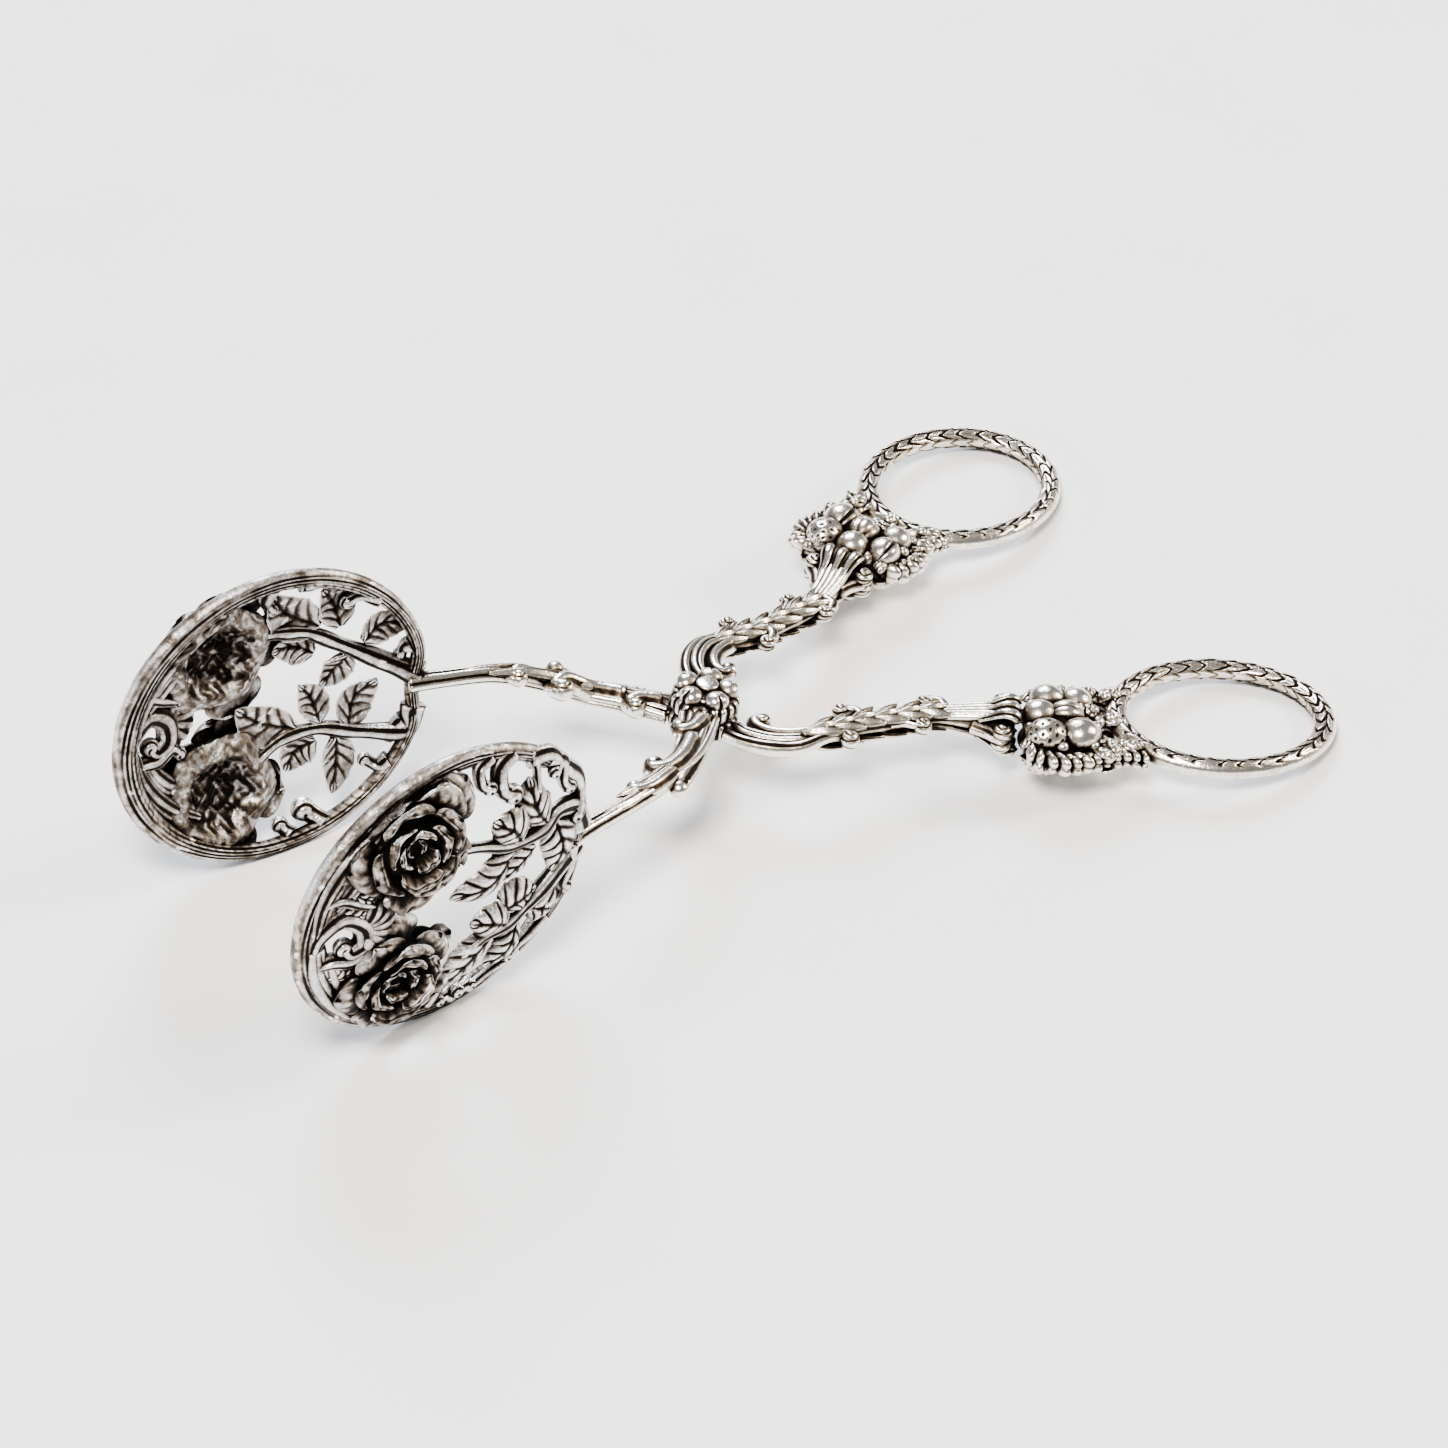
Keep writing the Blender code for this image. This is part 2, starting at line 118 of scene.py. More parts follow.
JAW_AXES = jaw_axes()
OUT = JAW_AXES[1]
FACING_OUT = JAW_AXES[[0, 2, 1]]     # the same, with outwards as the pole of a ball
CLUSTER_AXES = level_axes(CLUSTER_TURN)


def on_jaw(points):
    """(along, out, up) on a jaw plate to the tongs' frame, with the jaw's dome added."""
    points = np.array(points, float)
    reach = (points[..., 0] / RIM_HALF_LENGTH) ** 2 + (points[..., 2] / RIM_HALF_HEIGHT) ** 2
    points[..., 1] += JAW_DOME * np.clip(1 - reach ** 2, 0, 1)
    return JAW_MIDDLE + points @ JAW_AXES


def flat_on_jaw(points, out=0.0):
    """(along, up) pairs, laid at one distance out from the jaw plate."""
    points = np.asarray(points, float)
    return on_jaw(np.stack([points[:, 0], np.broadcast_to(out, len(points)), points[:, 1]], -1))


def inside_rim(u, out, v, limit):
    """(along, out, up) on the tongs' frame, drawn in where it would pass limit of the rim's oval."""
    beyond = np.maximum(1, np.hypot(u / RIM_HALF_LENGTH, v / RIM_HALF_HEIGHT) / limit)
    return on_jaw(np.stack([u / beyond, out, v / beyond], -1))


def in_cluster(points):
    """(along, across, up) on the fruit cluster to the tongs' frame."""
    return np.asarray(points, float) @ CLUSTER_AXES + [*CLUSTER_CENTRE, 0.0]


# -------- curves and grids

def curve(points, count):
    """Catmull-Rom curve through the points, read at even steps of its parameter."""
    knots = np.asarray(points, float)
    ends = np.vstack([2 * knots[0] - knots[1], knots, 2 * knots[-1] - knots[-2]])
    t = np.linspace(0, len(knots) - 1, count)
    i = np.minimum(t.astype(int), len(knots) - 2)
    f = (t - i)[:, None]
    a, b, c, d = ends[i], ends[i + 1], ends[i + 2], ends[i + 3]
    return 0.5 * (2 * b + (c - a) * f + (2 * a - 5 * b + 4 * c - d) * f ** 2
                  + (3 * b - a - 3 * c + d) * f ** 3)


def ramp(values, count):
    """Values read along a path by a smooth curve between them."""
    return curve(np.asarray(values, float)[:, None], count)[:, 0]


def around(columns):
    """Even angles round a closed row, as one line of a grid."""
    return (np.arange(columns) * TURN / columns)[None, :]


def weave(rows, columns, wrap_rows=False):
    """Triangles of a grid whose columns run round and meet, and whose rows may."""
    i = np.arange(rows if wrap_rows else rows - 1)[:, None]
    j = np.arange(columns)[None, :]
    k = (j + 1) % columns
    n = (i + 1) % rows
    a, b, c, d = i * columns + j, i * columns + k, n * columns + k, n * columns + j
    return np.concatenate([np.stack([a, b, c], -1).reshape(-1, 3),
                           np.stack([a, c, d], -1).reshape(-1, 3)])


def capped(grid, recess):
    """A grid of closed rows, with a point at the middle of its first and last row."""
    rows, columns = grid.shape[:2]
    points = np.vstack([grid.reshape(-1, 3), grid[0].mean(0), grid[-1].mean(0)])
    first, last = rows * columns, rows * columns + 1
    j = np.arange(columns)
    k = (j + 1) % columns
    foot = np.stack([np.full(columns, first), k, j], -1)
    crown = np.stack([np.full(columns, last), (rows - 1) * columns + j,
                      (rows - 1) * columns + k], -1)
    shade = np.concatenate([recess.ravel(), [recess[0].mean(), recess[-1].mean()]])
    return points, np.concatenate([weave(rows, columns), foot, crown]), shade


class Casting:
    """Closed surfaces that make up one piece, with the recess value of each point."""

    def __init__(self):
        self.points, self.faces, self.shades, self.count = [], [], [], 0

    def add(self, points, faces, shade):
        self.points.append(points)
        self.faces.append(faces + self.count)
        self.shades.append(np.clip(shade, 0, 1))
        self.count += len(points)

    def close(self, grid, recess, inside_out=False):
        """Add a grid of closed rows with its ends capped."""
        points, faces, shade = capped(grid, np.broadcast_to(recess, grid.shape[:2]))
        self.add(points, faces[:, ::-1] if inside_out else faces, shade)

    def make(self, arm, finish, name, node):
        """Mesh in the world's metres, riding on its arm and standing for a frame node."""
        name += arm["suffix"]
        points = np.vstack(self.points) * [1, arm["side"], 1] * MM
        faces = np.vstack(self.faces).astype(np.int32)
        if arm["side"] < 0:
            faces = faces[:, ::-1]
        points = points @ leaning(TILT) + PIVOT
        mesh = bpy.data.meshes.new(name)
        mesh.vertices.add(len(points))
        mesh.vertices.foreach_set("co", points.astype(np.float32).ravel())
        mesh.loops.add(faces.size)
        mesh.loops.foreach_set("vertex_index", np.ascontiguousarray(faces).ravel())
        mesh.polygons.add(len(faces))
        mesh.polygons.foreach_set("loop_start", np.arange(0, faces.size, 3, dtype=np.int32))
        mesh.update(calc_edges=True)
        mesh.shade_smooth()
        recess = mesh.attributes.new("recess", "FLOAT", "POINT")
        recess.data.foreach_set("value", np.concatenate(self.shades).astype(np.float32))
        mesh.materials.append(arm[finish])
        piece = add_to_scene(name, mesh)
        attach(piece, arm["body"])
        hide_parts(node + arm["suffix"])


# -------- surfaces

def along_path(path, up, closed=False):
    """Unit side and top at each point of a path; top leans to up."""
    tangent = np.roll(path, -1, 0) - np.roll(path, 1, 0) if closed else np.gradient(path, axis=0)
    tangent /= np.linalg.norm(tangent, axis=1)[:, None]
    side = np.cross(up, tangent)
    side /= np.linalg.norm(side, axis=1)[:, None] + 1e-9
    return side, np.cross(tangent, side)


def plain(t, a):
    """No relief and no recess."""
    return 0.0, 0.0


def sizes(size, count):
    """A size along a path: one for all of it, one for each point, or a short list as a ramp."""
    return np.broadcast_to(ramp(size, count) if isinstance(size, list) else size, count)[:, None]


def swept(path, wide, deep, up, sides, relief, camber=0.0, closed=False):
    """Grid and recess of an ellipse carried along a path, wide across and deep along up.

    relief(t, a) gives the height that pushes it out in millimetres and its recess, with t from 0
    to 1 along the path and a the angle round it from the side. camber bends the edges down.
    """
    side, top = along_path(path, up, closed)
    t = np.linspace(0, 1, len(path), endpoint=not closed)[:, None]
    a = around(sides)
    height, recess = relief(t, a)
    wide, deep = sizes(wide, len(path)), sizes(deep, len(path))
    x = np.cos(a) * (wide + height)
    y = np.sin(a) * (deep + height) - camber * np.cos(a) ** 2 * wide
    grid = path[:, None] + x[..., None] * side[:, None] + y[..., None] * top[:, None]
    return grid, np.broadcast_to(recess, x.shape)


def tube(cast, path, wide, deep, up, sides, relief, camber=0.0):
    """An ellipse swept along an open path, capped at both ends."""
    cast.close(*swept(path, wide, deep, up, sides, relief, camber))


def hoop(cast, path, wide, deep, up, sides, relief):
    """An ellipse swept along a closed path."""
    grid, recess = swept(path, wide, deep, up, sides, relief, closed=True)
    cast.add(grid.reshape(-1, 3), weave(len(path), sides, True), recess.ravel())


def orb(cast, centre, radii, axes=np.eye(3), relief=plain, columns=36, rows=20):
    """Ellipsoid on three axes, the last its poles, pushed out by relief(t, a)."""
    lift = (np.linspace(-0.5, 0.5, rows + 2)[1:-1] * math.pi)[:, None]
    a = around(columns)
    height, recess = relief(lift / math.pi + 0.5, a)
    grow = 1 + height / min(radii) + 0 * lift
    unit = np.stack([np.cos(lift) * np.cos(a), np.cos(lift) * np.sin(a), np.sin(lift) + 0 * a], -1)
    cast.close(centre + (unit * radii * grow[..., None]) @ axes, recess)


def flutes(count, depth, stain=0.0):
    """Relief of even grooves that run the length of a tube, with its ridges stained too."""
    def relief(t, a):
        wave = 0.5 + 0.5 * np.cos(count * a)
        return depth * (wave ** 0.5 - 0.6), np.clip(1.0 - 3.0 * wave, stain, 1)
    return relief


def volute(turns=2.2, depth=0.28):
    """Relief of a spiral groove that winds from the rim of a ball to its poles."""
    def relief(t, a):
        wind = a / TURN + turns * np.abs(t - 0.5) * 2
        gap = np.abs(wind - np.round(wind))
        groove = np.exp(-(gap / 0.13) ** 2)
        return -depth * groove, groove
    return relief


def veined(count):
    """Relief of a leaf: a sunk midrib and slanting side veins, or dark edges if there are none."""
    def relief(t, a):
        x = np.cos(a)
        middle = np.exp(-(x / 0.05) ** 2)
        wave = 0.5 + 0.5 * np.cos(TURN * (count * t - 1.15 * np.abs(x)))
        inner = np.clip(1 - np.abs(x) ** 8, 0, 1)
        line = np.clip((1 - wave) ** 7 * 1.2 - 0.1, 0, 1) * inner * (count > 0)
        outer_face = 0.45 + 0.33 * (np.sin(a) > 0)
        return ((0.09 * wave - 0.324 * middle - 0.216 * line) * inner,
                np.clip(0.95 * middle + 0.6 * line + 0.12 * (1 - wave), 0, 1) * outer_face
                + np.abs(x) ** 14 * (count == 0))
    return relief


def leaf(cast, points, half_width, up, thickness, teeth, veins, camber, count):
    """Serrated leaf along a curve, widest before its middle, with veins on both faces.

    half_width, thickness, teeth, veins and how far it bends down are each leaf's own; count is
    how many points are read along it, and a coarse leaf has fewer sides too.
    """
    path = curve(points, count)
    t = np.linspace(0, 1, count)
    outline = np.sin(math.pi * np.clip(t, 0.02, 0.99) ** 0.85) ** 0.62
    outline = outline * (0.94 + 0.09 * ((t * teeth) % 1.0)) + 0.08 * (1 - t)
    tube(cast, path, half_width * outline, thickness * (1 - 0.6 * t ** 2), up,
         48 if count > 40 else 26, veined(veins), camber)


def curl(cast, points, start, end, ball, relief):
    """Tapering rod along a curve, that ends in a small ball."""
    path = curve(points, 30)
    radius = np.linspace(start, end, len(path))
    tube(cast, path, radius, radius, UP, 20, relief)
    orb(cast, path[-1], (end * ball,) * 3, relief=volute(1.4, 0.15), columns=24, rows=14)


def reeds(cast, path, count, begin, finish, radius, up, rise, relief=plain):
    """Parallel rods that stand rise above a path; the outer ones lie lower, and begin to finish
    from its middle line."""
    side, top = along_path(path, up)
    apart = np.linspace(begin, finish, len(path))[:, None]
    for k in np.linspace(-1, 1, count):
        lift = rise * math.sqrt(1 - 0.6 * k * k)
        tube(cast, path + side * apart * k + top * lift, radius, radius, up, 18, relief)


# -------- handle

def laurel(t, a):
    """Relief of overlapping laurel leaves on the ring's top and foot, bare at its sides.

    Each leaf rises along the ring and ends in a pointed lip over a dark nick; neighbouring
    ranks are half a leaf apart, and the leaves' lengths wander round the ring.
    """
    rank = RING_RANKS * a / TURN + 0.5
    x = 2 * (rank % 1.0) - 1
    wander = 0.105 * np.sin(TURN * 7 * t + 2 * a) + 0.06 * np.sin(TURN * 19 * t)
    s = (RING_LEAVES * t + wander + 0.5 * (np.floor(rank) % 2) + 0.55 * np.abs(x) ** 1.5) % 1.0
    edge = np.exp(-((1 - s) / 0.12) ** 2) + np.exp(-(s / 0.12) ** 2)
    seam = np.exp(-((1 - np.abs(x)) / 0.15) ** 2)
    rib = np.exp(-(x / 0.12) ** 2) * (s > 0.25) * (s < 0.8)
    bare = np.clip(2.6 * np.abs(np.cos(a)) - 1.35 - 0.5 * np.cos(a), 0, 1)
    mark = np.clip(edge + 0.55 * seam + 0.3 * rib, 0, 1)
    return (0.24 * s ** 0.8 - 0.14 * seam - 0.3 * edge - 0.06 * rib) * (1 - bare), 1.25 * mark * (1 - bare)


def finger_ring(arm):
    """Oval ring of wire: bare inside, laurel leaves elsewhere."""
    cast = Casting()
    a = around(720)[0] + math.pi
    oval = np.stack([RING_HALF_LENGTH * np.cos(a), RING_HALF_WIDTH * np.sin(a), 0 * a], -1)
    swell = 0.2 + 0.15 * np.cos(a) ** 2
    hoop(cast, oval @ level_axes(RING_TURN) + [*RING_CENTRE, 0], RING_WIRE + swell, RING_WIRE, UP, 60,
         laurel)
    cast.make(arm, "silver", "laurel_ring", "finger_ring")


def hub_eye(arm):
    """Eye of the arm, a low drum with worn edges and chased lines on its side."""
    cast = Casting()
    z = arm["level"] * LAYER
    half = HUB_THICKNESS / 2
    foot = [(0.2, -half), (HUB_RADIUS - 0.9, -half), (HUB_RADIUS - 0.3, 0.25 - half),
            (HUB_RADIUS, 0.9 - half)]
    rows = np.array(foot + [(radius, -height) for radius, height in reversed(foot)])
    a = around(120)
    ridges = np.cos(HUB_RIDGES * a)
    chased = (rows[:, :1] > HUB_RADIUS - 0.5).astype(float)
    radius = rows[:, :1] * (1 + 0.04 * ridges * chased)
    grid = np.stack([radius * np.cos(a), radius * np.sin(a), rows[:, 1:] + z + 0 * radius], -1)
    cast.close(grid, np.clip(0.5 - 1.1 * ridges, 0, 1) * chased + 0.45 * (1 - chased))
    cast.make(arm, "silver", "hub_drum", "hub_eye")


def jaw_arm(arm):
    """Fan of reeds that narrows from the hub to a plain rod, with curled leaf ends.

    Reeds run from the hub, side by side, and peel off one after another: those on the inner
    side end in volutes, the outer one in a blunt leaf tip, and the rod goes on to the jaw.
    """
    cast = Casting()
    z = arm["level"] * LAYER
    mid = (z + 2) / 2
    spine = [(-3.4, -3.5, z), (-9, -9.6, z), (-14, -13.6, z), (-20, -16.9, mid), (-28, -19.7, 2.0),
             (-37, -22.1, 1.9), (-41.8, -23.4, 1.7)]
    tube(cast, curve(spine, 140), [2.7, 2.4, 1.9, 1.6, 1.45, 1.6, 2.0],
         [1.2, 1.3, 1.4, 1.5, 1.4, 1.4, 1.5], UP, 48, flutes(6, 0.2))
    for face in (1, -1):
        fan = curve([(-3.8, -3.9, z - 0.1 * face)] + spine[1:4], 60)
        reeds(cast, fan, 5, 2.7, 0.8, [0.60, 0.72, 0.66, 0.45], UP * face, 0.95)
    inner = [([(-4.6, -5.6, z + 0.4), (-7.4, -7.2, z + 0.6), (-9.4, -7.0, z + 0.6), (-9.0, -6.0, z + 0.5)],
              1.9, 1.5),
             ([(-9.0, -9.4, z + 0.4), (-13.4, -13.0, z + 0.6), (-17.2, -14.6, mid + 0.5),
               (-19.5, -14.0, mid + 0.4), (-18.7, -13.1, mid + 0.4)], 2.0, 1.65),
             ([(-16.0, -14.8, z + 0.3), (-20.6, -17.2, mid + 0.5), (-24.0, -18.0, 2.3),
               (-25.6, -17.4, 2.3), (-24.9, -16.8, 2.2)], 1.6, 1.3)]
    for points, start, end in inner:
        curl(cast, points, start, end, 1.2, flutes(4, 0.28))
    outer = curve([(-5.0, -8.4, z), (-9.6, -12.4, z - 0.2), (-12.8, -14.9, z - 0.5),
                   (-15.6, -17.0, mid - 0.6), (-17.0, -18.0, 0.9)], 70)
    tube(cast, outer, [0.7, 1.3, 1.5, 1.6, 1.3], [0.8, 1.2, 1.4, 1.5, 1.2], UP, 32, flutes(3, 0.18))
    orb(cast, outer[-1], (1.6, 1.55, 1.4))
    blades = [([(-12, -11.6, z + 1.2), (-18, -15.2, mid + 1.7), (-24, -17.4, 3.5)], 1.5),
              ([(-17, -14.2, mid + 1.2), (-23, -16.8, 3.2), (-29.6, -18.6, 3.4)], 1.25),
              ([(-24, -18.8, 2.9), (-29.6, -20.4, 3.1), (-34.4, -21.2, 2.9)], 1.0)]
    for points, width in blades:
        leaf(cast, points, width, UP, 0.6, 1, 0, 0.5, 46)
    cast.make(arm, "silver", "reeded_jaw_arm", "jaw_arm")


def grooved_stem(t, a):
    """Relief of the gooseneck: six grooves, which fade under the sheath of leaves."""
    height, recess = flutes(6, 0.24)(t, a)
    covered = np.clip(1 - ((t - 0.6) / 0.24) ** 6, 0, 1)
    return height * (1 - 0.6 * covered), np.clip(recess + 0.25 * covered, 0, 1)


def sheath_leaf(cast, x, y, degrees, slant, face):
    """One of the three leaves at a place on the stem: the middle one stands higher and is shorter."""
    a = math.radians(degrees + slant)
    way = np.array([math.cos(a), math.sin(a), 0])
    base = np.array([x, y, face * 0.9])
    reach, lift = (6.2, 0.7) if slant else (5.2, 1.15)
    points = [base - way * 0.8, base + way * reach * 0.5 + UP * face * lift,
              base + way * reach + UP * face * (lift - 0.2)]
    leaf(cast, points, 1.05, UP * face, 0.7, 1, 0, 0.7, 42)


def handle_stem(arm):
    """Gooseneck with a volute, a sheath of leaves with four scrolls, and a reeded trumpet."""
    cast = Casting()
    z = arm["level"] * LAYER
    knots = [(3.0, 5.1, z), (3.6, 7.6, z), (5.8, 10.6, 0.9 * z), (9.3, 13.1, 0.6 * z), (13, 14.0, 0.3 * z),
             (18, 14.0, 0), (24, 15.0, 0), (30, 16.1, 0), (35, 17.9, 0), (41.9, 22.6, 0)]
    tube(cast, curve(knots, 220), [1.3, 1.4, 1.5, 1.4, 1.5, 1.9, 1.9, 1.7, 1.5, 2.3],
         [1.3, 1.5, 1.6, 1.6, 1.3, 1.2, 1.2, 1.2, 1.5, 2.2], UP, 72, grooved_stem)
    back = curve([(0.6, 5.6, z), (1.8, 8.6, z), (4.6, 11.9, 0.9 * z), (8.6, 14.5, 0.6 * z),
                  (12.8, 15.5, 0.5), (15.4, 15.9, 0.6), (17.2, 17.0, 0.6), (16.8, 18.4, 0.6)], 90)
    tube(cast, back, [0.9, 1.0, 1.05, 1.0, 0.9, 0.95, 1.0, 0.8],
         [1.1, 1.3, 1.4, 1.3, 1.0, 1.0, 1.0, 0.8], UP, 28, flutes(3, 0.1))
    front = [(13.4, 12.6, 0.3 * z), (10.2, 11.2, 0.6 * z), (7.6, 8.9, 0.9 * z), (6.4, 6.4, z),
             (7.0, 4.7, z), (8.2, 5.3, z)]
    curl(cast, front, 1.35, 1.2, 1.25, flutes(4, 0.24))
    for x, y, radius in [(16.5, 17.6, 1.6), (19.5, 10.6, 1.5), (29.7, 19.3, 1.5), (33.4, 14.1, 1.45)]:
        orb(cast, (x, y, 0.5), (radius,) * 3, relief=volute())
    for neck in [[(21.6, 13.8, 0.8), (21.6, 12.0, 0.9), (20.6, 10.8, 0.9)],
                 [(25.4, 16.2, 0.6), (27.4, 17.2, 0.8), (29.0, 18.8, 0.8)],
                 [(35.6, 17.0, 0.8), (35.8, 15.2, 0.9), (34.6, 14.0, 0.9)]]:
        curl(cast, neck, 1.15, 0.85, 1.0, flutes(3, 0.16))
    for face in (1, -1):
        for x, y, degrees in [(10.8, 13.6, 8), (14.6, 14.1, 4), (18.4, 14.3, 5), (22.4, 14.9, 8),
                              (26.4, 15.6, 9), (30.2, 16.2, 14)]:
            for slant in (-21, 0, 21):
                sheath_leaf(cast, x, y, degrees, slant, face)
        fan = curve([(31.5, 16.5, face * 0.5), (35, 18.0, face * 0.9), (38.6, 20.2, face * 1.4),
                     (41.9, 22.6, face * 2.0)], 50)
        reeds(cast, fan, 5, 1.0, 1.9, [0.45, 0.55, 0.6, 0.7], UP * face, 0.3)
    cast.make(arm, "silver", "gooseneck_stem", "handle_stem")


def scroll_collar(arm):
    """The trumpet's reeds roll over its mouth as a row of lips between two volutes."""
    cast = Casting()
    middle = np.array([42.2, 23.0, 0.0])
    across = level_axes(math.radians(125))[0]
    ahead = np.array([across[1], -across[0], 0.0])
    for s in (-1.9, 0.05, 2.0):
        for face in (1, -1):
            base = middle + across * s * 0.9
            points = [base - ahead * 3.4 + UP * face * 1.5, base - ahead * 1.2 + UP * face * 2.5,
                      base + across * s * 0.2 + ahead * 0.9 + UP * face * 3.5,
                      base + across * s * 0.3 + ahead * 2.3 + UP * face * 3.3,
                      base + across * s * 0.3 + ahead * 2.5 + UP * face * 2.4]
            path = curve(points, 36)
            tube(cast, path, [0.6, 0.9, 1.2, 1.3, 0.95], [0.6, 0.7, 0.85, 0.85, 0.7],
                 UP * face, 32, flutes(4, 0.2))
    for s, radius in ((-4.3, 1.75), (4.2, 1.6)):
        for lift in (1.1, -1.1):
            orb(cast, middle + across * s + ahead * 0.5 + UP * lift, (radius, radius, radius * 0.9),
                relief=volute(2.4, 0.3))
        neck = [middle + across * s * 0.45 - ahead * 4.2, middle + across * s * 0.7 - ahead * 1.8,
                middle + across * s * 1.0 - ahead * 0.2]
        curl(cast, neck, 1.2, 1.1, 1.0, flutes(4, 0.18))
    orb(cast, middle, (2.8, 2.8, 1.9), columns=40, relief=lambda t, a: (0.0, 0.9))
    cast.make(arm, "silver", "rolled_collar", "scroll_collar")


# -------- fruit

def pitted(t, a):
    """Relief of a strawberry: seeds set in staggered rows of dimples."""
    rows = 9 * t
    shift = 0.5 * (np.floor(rows) % 2)
    x = (9 * a / TURN + shift) % 1.0 - 0.5
    y = rows % 1.0 - 0.5
    pit = np.exp(-(x * x + y * y) / 0.035)
    return 0.05 - 0.2 * pit, np.clip(1.1 * pit, 0, 1)


def creased(t, a):
    """Relief of a plum: one soft crease from pole to pole."""
    crease = np.exp(-((a - math.pi / 2 - 0.5) / 0.12) ** 2)
    return -0.3 * crease, crease


def ribbed(count, depth=0.3):
    """Relief of a bud or gourd with even ribs."""
    def relief(t, a):
        wave = np.abs(np.cos(count * a / 2)) ** 0.7
        return depth * (wave - 0.7), np.clip(0.9 - 2.2 * wave, 0, 1)
    return relief


def bramble(t, a):
    """Relief of a bramble berry: staggered round drupelets."""
    rows = 6 * t
    shift = 0.5 * (np.floor(rows) % 2)
    x = 2 * ((7 * a / TURN + shift) % 1.0) - 1
    y = 2 * (rows % 1.0) - 1
    drop = np.clip(1 - x * x - y * y, 0, 1) ** 0.5
    return 0.5 * drop - 0.3, np.clip(1 - 2.2 * drop, 0, 1)


BORDERS = [[(-6.6, 7.4), (-4.2, 9.6), (-0.4, 10.0), (3.2, 8.8), (6.6, 7.4), (10.0, 6.8), (12.4, 7.4)],
           [(-5.4, -6.6), (-2.6, -8.8), (1.0, -9.6), (4.4, -9.4), (7.4, -9.8), (9.6, -11.4)]]
BRIDGES = [[(2.4, 5.8), (6.6, 5.4), (10.4, 3.6)], [(2.8, -1.6), (6.0, -1.8), (9.4, -1.6)],
           [(1.6, -7.2), (5.4, -8.2), (8.8, -7.6)]]


def beaded_border(cast, border, slant):
    """Rope of overlapping beads along a border of the cluster, on both faces, smaller to its end."""
    samples, spacing = 400, 1.8
    path = curve([(*place, 0.0) for place in border], samples)
    reach = np.concatenate([[0], np.cumsum(np.linalg.norm(np.diff(path, axis=0), axis=1))])
    places = np.interp(np.arange(0.4, reach[-1], spacing), reach, np.arange(float(samples))).astype(int)
    for order, i in enumerate(places):
        ahead = path[min(i + 4, samples - 1)] - path[max(i - 4, 0)]
        way = level_axes(math.atan2(ahead[1], ahead[0]) + slant)[0] @ CLUSTER_AXES
        for face in (1, -1):
            size = (1 - 0.35 * order / len(places)) * (1 + 0.12 * math.sin(2.7 * order + face))
            orb(cast, in_cluster(path[i] + [0, 0, 0.65 * face]), (2.1 * size, 0.98 * size, 1.2 * size),
                np.array([way, np.cross(UP, way), UP]), ribbed(2, 0.2), 28, 16)


# Along, across and up from the cluster's middle, three radii, the last lengthwise, and the relief
FRUIT = [(-3.9, 5.4, 2.2, (3.05, 2.7, 3.4), pitted), (1.6, 4.8, 2.3, (3.1, 2.8, 3.3), creased),
         (-4.7, 0.1, 2.3, (2.8, 2.6, 3.0), plain), (-0.4, 0.1, 2.6, (2.8, 2.6, 2.9), ribbed(7, 0.26)),
         (-3.0, -4.9, 2.1, (2.8, 2.5, 3.0), creased), (1.7, -5.0, 1.9, (2.7, 2.4, 2.8), plain),
         (2.6, -1.6, 2.0, (1.7, 1.7, 2.0), bramble)]
# Along, across, radius
BERRIES = [(4.2, 1.6, 1.1), (5.0, 0.0, 1.0), (4.2, 3.0, 1.1), (6.4, 5.8, 0.9), (4.4, -3.2, 1.05),
           (6.9, -1.4, 0.9), (6.9, -7.6, 0.9), (-1.6, 7.9, 1.05), (-0.6, -7.4, 1.05), (3.4, -7.4, 0.9),
           (3.6, 6.9, 0.95), (-6.4, 3.2, 1.1), (-5.6, -3.2, 1.15), (-1.8, -2.6, 1.15), (-1.8, 3.6, 0.95),
           (8.4, 5.6, 0.8), (8.2, -2.0, 0.8)]
# Along and across of the foot, heading in degrees, length, half-width
CLUSTER_LEAVES = [(5.6, 6.0, 20, 4.2, 1.3), (8.6, 5.6, -10, 4.2, 1.3), (6.8, -8.4, -20, 4.0, 1.3),
                  (3.0, -8.4, -25, 3.6, 1.3), (6.2, -1.6, 5, 4.4, 1.3), (4.2, 7.6, 30, 3.6, 1.2),
                  (-5.6, 6.4, 160, 3.0, 1.2), (-5.0, -5.4, 200, 3.0, 1.2)]


def fruit_cluster(arm):
    """Fruit, berries and leaves on a pierced bed, between two ropes of overlapping beads."""
    cast = Casting()
    orb(cast, in_cluster([-1.9, 0.2, 0]), (5.4, 8.6, 1.7), CLUSTER_AXES,
        lambda t, a: (0.25 * np.cos(9 * a) * np.cos(14 * t), 0.9), 90, 36)
    for bridge in BRIDGES:
        path = curve(in_cluster([(*place, 0.0) for place in bridge]), 40)
        tube(cast, path, [1.3, 0.95, 1.1], [1.5, 1.2, 1.2], UP, 28, knotted)
    for border, slant in zip(BORDERS, (0.9, -0.9)):
        beaded_border(cast, border, slant)
    for face in (1, -1):
        up = UP * face
        side = CLUSTER_AXES[1] * face
        for along, across, high, radii, relief in FRUIT:
            orb(cast, in_cluster([along, across, high * face]), radii,
                np.array([side, up, CLUSTER_AXES[0]]), relief, 60, 36)
        for along, across, radius in BERRIES:
            orb(cast, in_cluster([along, across, 1.75 * face]), (radius,) * 3,
                np.array([CLUSTER_AXES[0], side, up]), plain, 22, 13)
        for along, across, degrees, length, width in CLUSTER_LEAVES:
            way = level_axes(math.radians(degrees))[0]
            base = np.array([along, across, 1.1 * face])
            points = [base - way, base + way * length * 0.4 + up * 0.8, base + way * length * 0.9]
            leaf(cast, in_cluster(points), width, up, 0.45, 3, 4, 0.4, 30)
    cast.make(arm, "silver", "fruit_and_leaves", "fruit_cluster")


# -------- jaw

